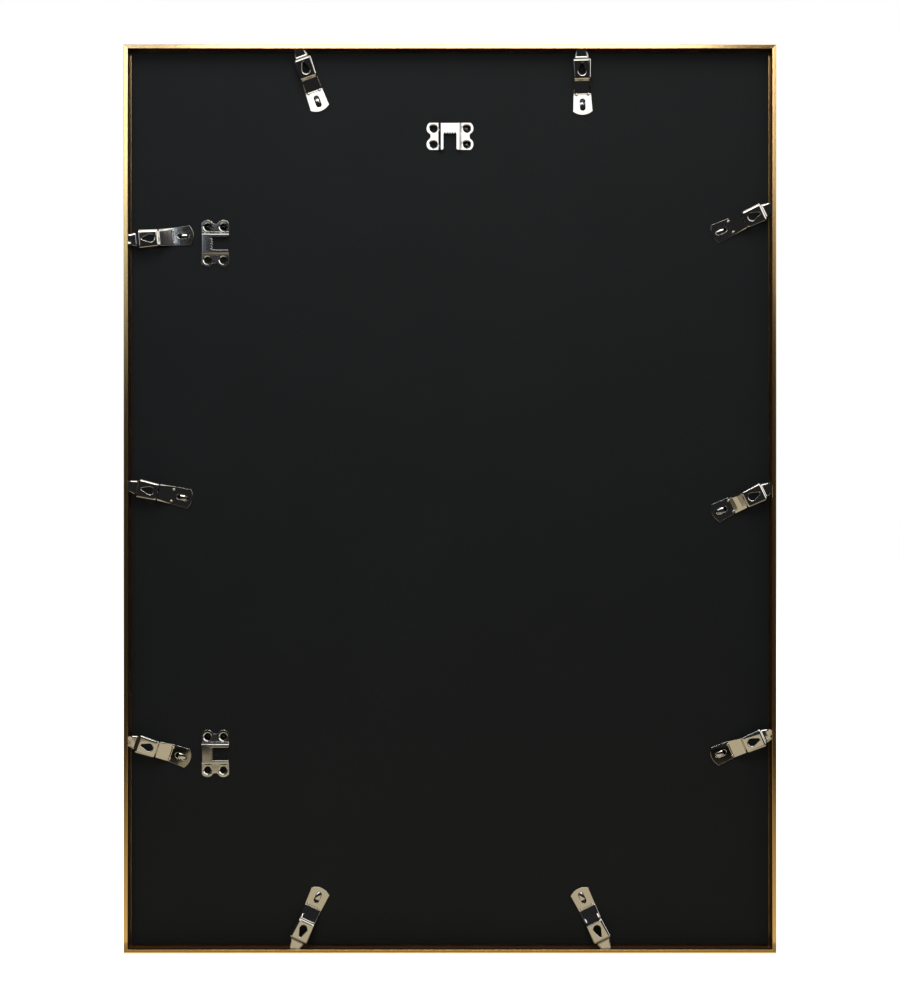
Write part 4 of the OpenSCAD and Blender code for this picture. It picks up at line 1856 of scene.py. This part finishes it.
    def _room(self, foot: float) -> None:
        """Adds the dark half room round the camera, grey and then bright to the right.

        Args:
            foot: The floor's height.
        """
        bpy.ops.mesh.primitive_uv_sphere_add(segments=64, ring_count=32, radius=self.room_radius)
        room = bpy.context.active_object
        room.name = "dark_room"
        with Bench.editing(room):
            Bench.score((0, 0, foot + self.room_lift), (0, 0, -1), drop_outer=True)
            Bench.score((0, self.room_end, 0), (0, 1, 0), drop_outer=True)
            Bench.pick(room, Part.FACES, lambda at, way: abs(way.y) > self.room_cap)
            bpy.ops.mesh.delete(type="FACE")
        material, recipe, glow = self._glow("dark_room")
        place = recipe.add("SeparateXYZ", {0: recipe.add("TexCoord").outputs["Object"]})
        behind = recipe.math("MULTIPLY", place.outputs["Y"], -1.0)
        azimuth = recipe.math("ARCTAN2", place.outputs["X"], behind)
        turn = recipe.spread(azimuth, 0.0, 1.0, *map(math.radians, self.grey_turn))
        lift = recipe.spread(place.outputs["Z"], 0.0, 1.0, *(foot + z for z in self.grey_lift))
        grey = recipe.math("MULTIPLY", turn, lift)
        side = recipe.spread(azimuth, 0.0, 1.0, *map(math.radians, self.bright_turn))
        drop = recipe.spread(azimuth, *self.edge_drop, *map(math.radians, self.edge_turn))
        height = recipe.math("ADD", place.outputs["Z"], drop)
        above = recipe.spread(height, 0.0, 1.0, *self.edge_blur)
        bright = recipe.math("MULTIPLY", side, above)
        colour = recipe.blend(grey, self.room_dark, self.room_grey)
        colour = recipe.blend(bright, colour, self.room_bright)
        recipe.feed(glow, {"Color": colour})
        room.data.materials.append(material)
        self._seen_by_metal_only(room)

    def _world(self) -> None:
        """White behind the object and in its reflections, and an even light on the rest."""
        world = bpy.data.worlds.new("pale_studio")
        recipe = Recipe.empty(world)
        seen = self._seen(recipe)
        light, white = (
            recipe.add("Background", {"Color": (1, 1, 1), "Strength": strength})
            for strength in (self.ambient, 1.0)
        )
        both = recipe.add("MixShader", {0: seen, 1: light.outputs[0], 2: white.outputs[0]})
        recipe.add("OutputWorld", {"Surface": both.outputs[0]})
        bpy.context.scene.world = world

    @staticmethod
    def _seen(recipe: Recipe) -> NodeSocket:
        """One for rays from the camera, from a mirror or through glass, and else zero.

        Args:
            recipe: The recipe that takes the nodes.

        Returns:
            The number, as a socket.
        """
        path = recipe.add("LightPath")
        glossy, through = path.outputs["Is Glossy Ray"], path.outputs["Is Transmission Ray"]
        mirrored = recipe.math("MAXIMUM", glossy, through)
        return recipe.math("MAXIMUM", path.outputs["Is Camera Ray"], mirrored)

    def _floor(self, foot: float) -> None:
        """Adds the pale floor, which looks white but keeps the object's shadow.

        Args:
            foot: Its height.
        """
        bpy.ops.mesh.primitive_plane_add(size=self.floor_size, location=(0, 0, foot))
        floor = bpy.context.active_object
        floor.name = "pale_floor"
        made = bpy.data.materials.new("pale_floor")
        recipe = Recipe.empty(made)
        matt = recipe.add("BsdfDiffuse", {"Color": self.floor_colour})
        strength = recipe.math("MULTIPLY", self._seen(recipe), self.floor_glow)
        glow = recipe.add("Emission", {"Strength": strength})
        both = recipe.add("AddShader", {0: matt.outputs[0], 1: glow.outputs[0]})
        recipe.add("OutputMaterial", {"Surface": both.outputs[0]})
        floor.data.materials.append(made)

    @staticmethod
    def _lamp(name: str, place: Place, size: float, power: float) -> None:
        """Adds a round soft lamp that faces the frame and that no mirror shows.

        Args:
            name: The lamp's name.
            place: Where it hangs.
            size: Its width.
            power: Its power in watts.
        """
        data = bpy.data.lights.new(name, "AREA")
        data.shape = "DISK"
        data.size = size
        data.energy = power
        lamp = bpy.data.objects.new(name, data)
        bpy.context.scene.collection.objects.link(lamp)
        lamp.location = place
        lamp.rotation_euler = (-Vector(place)).to_track_quat("-Z", "Y").to_euler()
        lamp.visible_glossy = False

    def _camera(self) -> None:
        """Sets the level camera, a little above the frame's middle."""
        data = bpy.data.cameras.new("camera")
        data.lens = self.lens
        data.shift_y = self.shift
        camera = bpy.data.objects.new("camera", data)
        bpy.context.scene.collection.objects.link(camera)
        camera.location = (0, cad_box[0].y - self.camera_distance, self.camera_height)
        camera.rotation_euler = (math.pi / 2, 0, 0)
        bpy.context.scene.camera = camera


def main() -> None:
    """Builds the picture frame and its studio."""
    logging.basicConfig(level=logging.INFO, format="%(message)s")
    effects = Effects()
    for assembly in (Rails(), Clips(), Hangers(), Glazing(), Sheets()):
        for piece in assembly.build(effects):
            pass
    Studio().build()


if __name__ == "__main__":
    main()
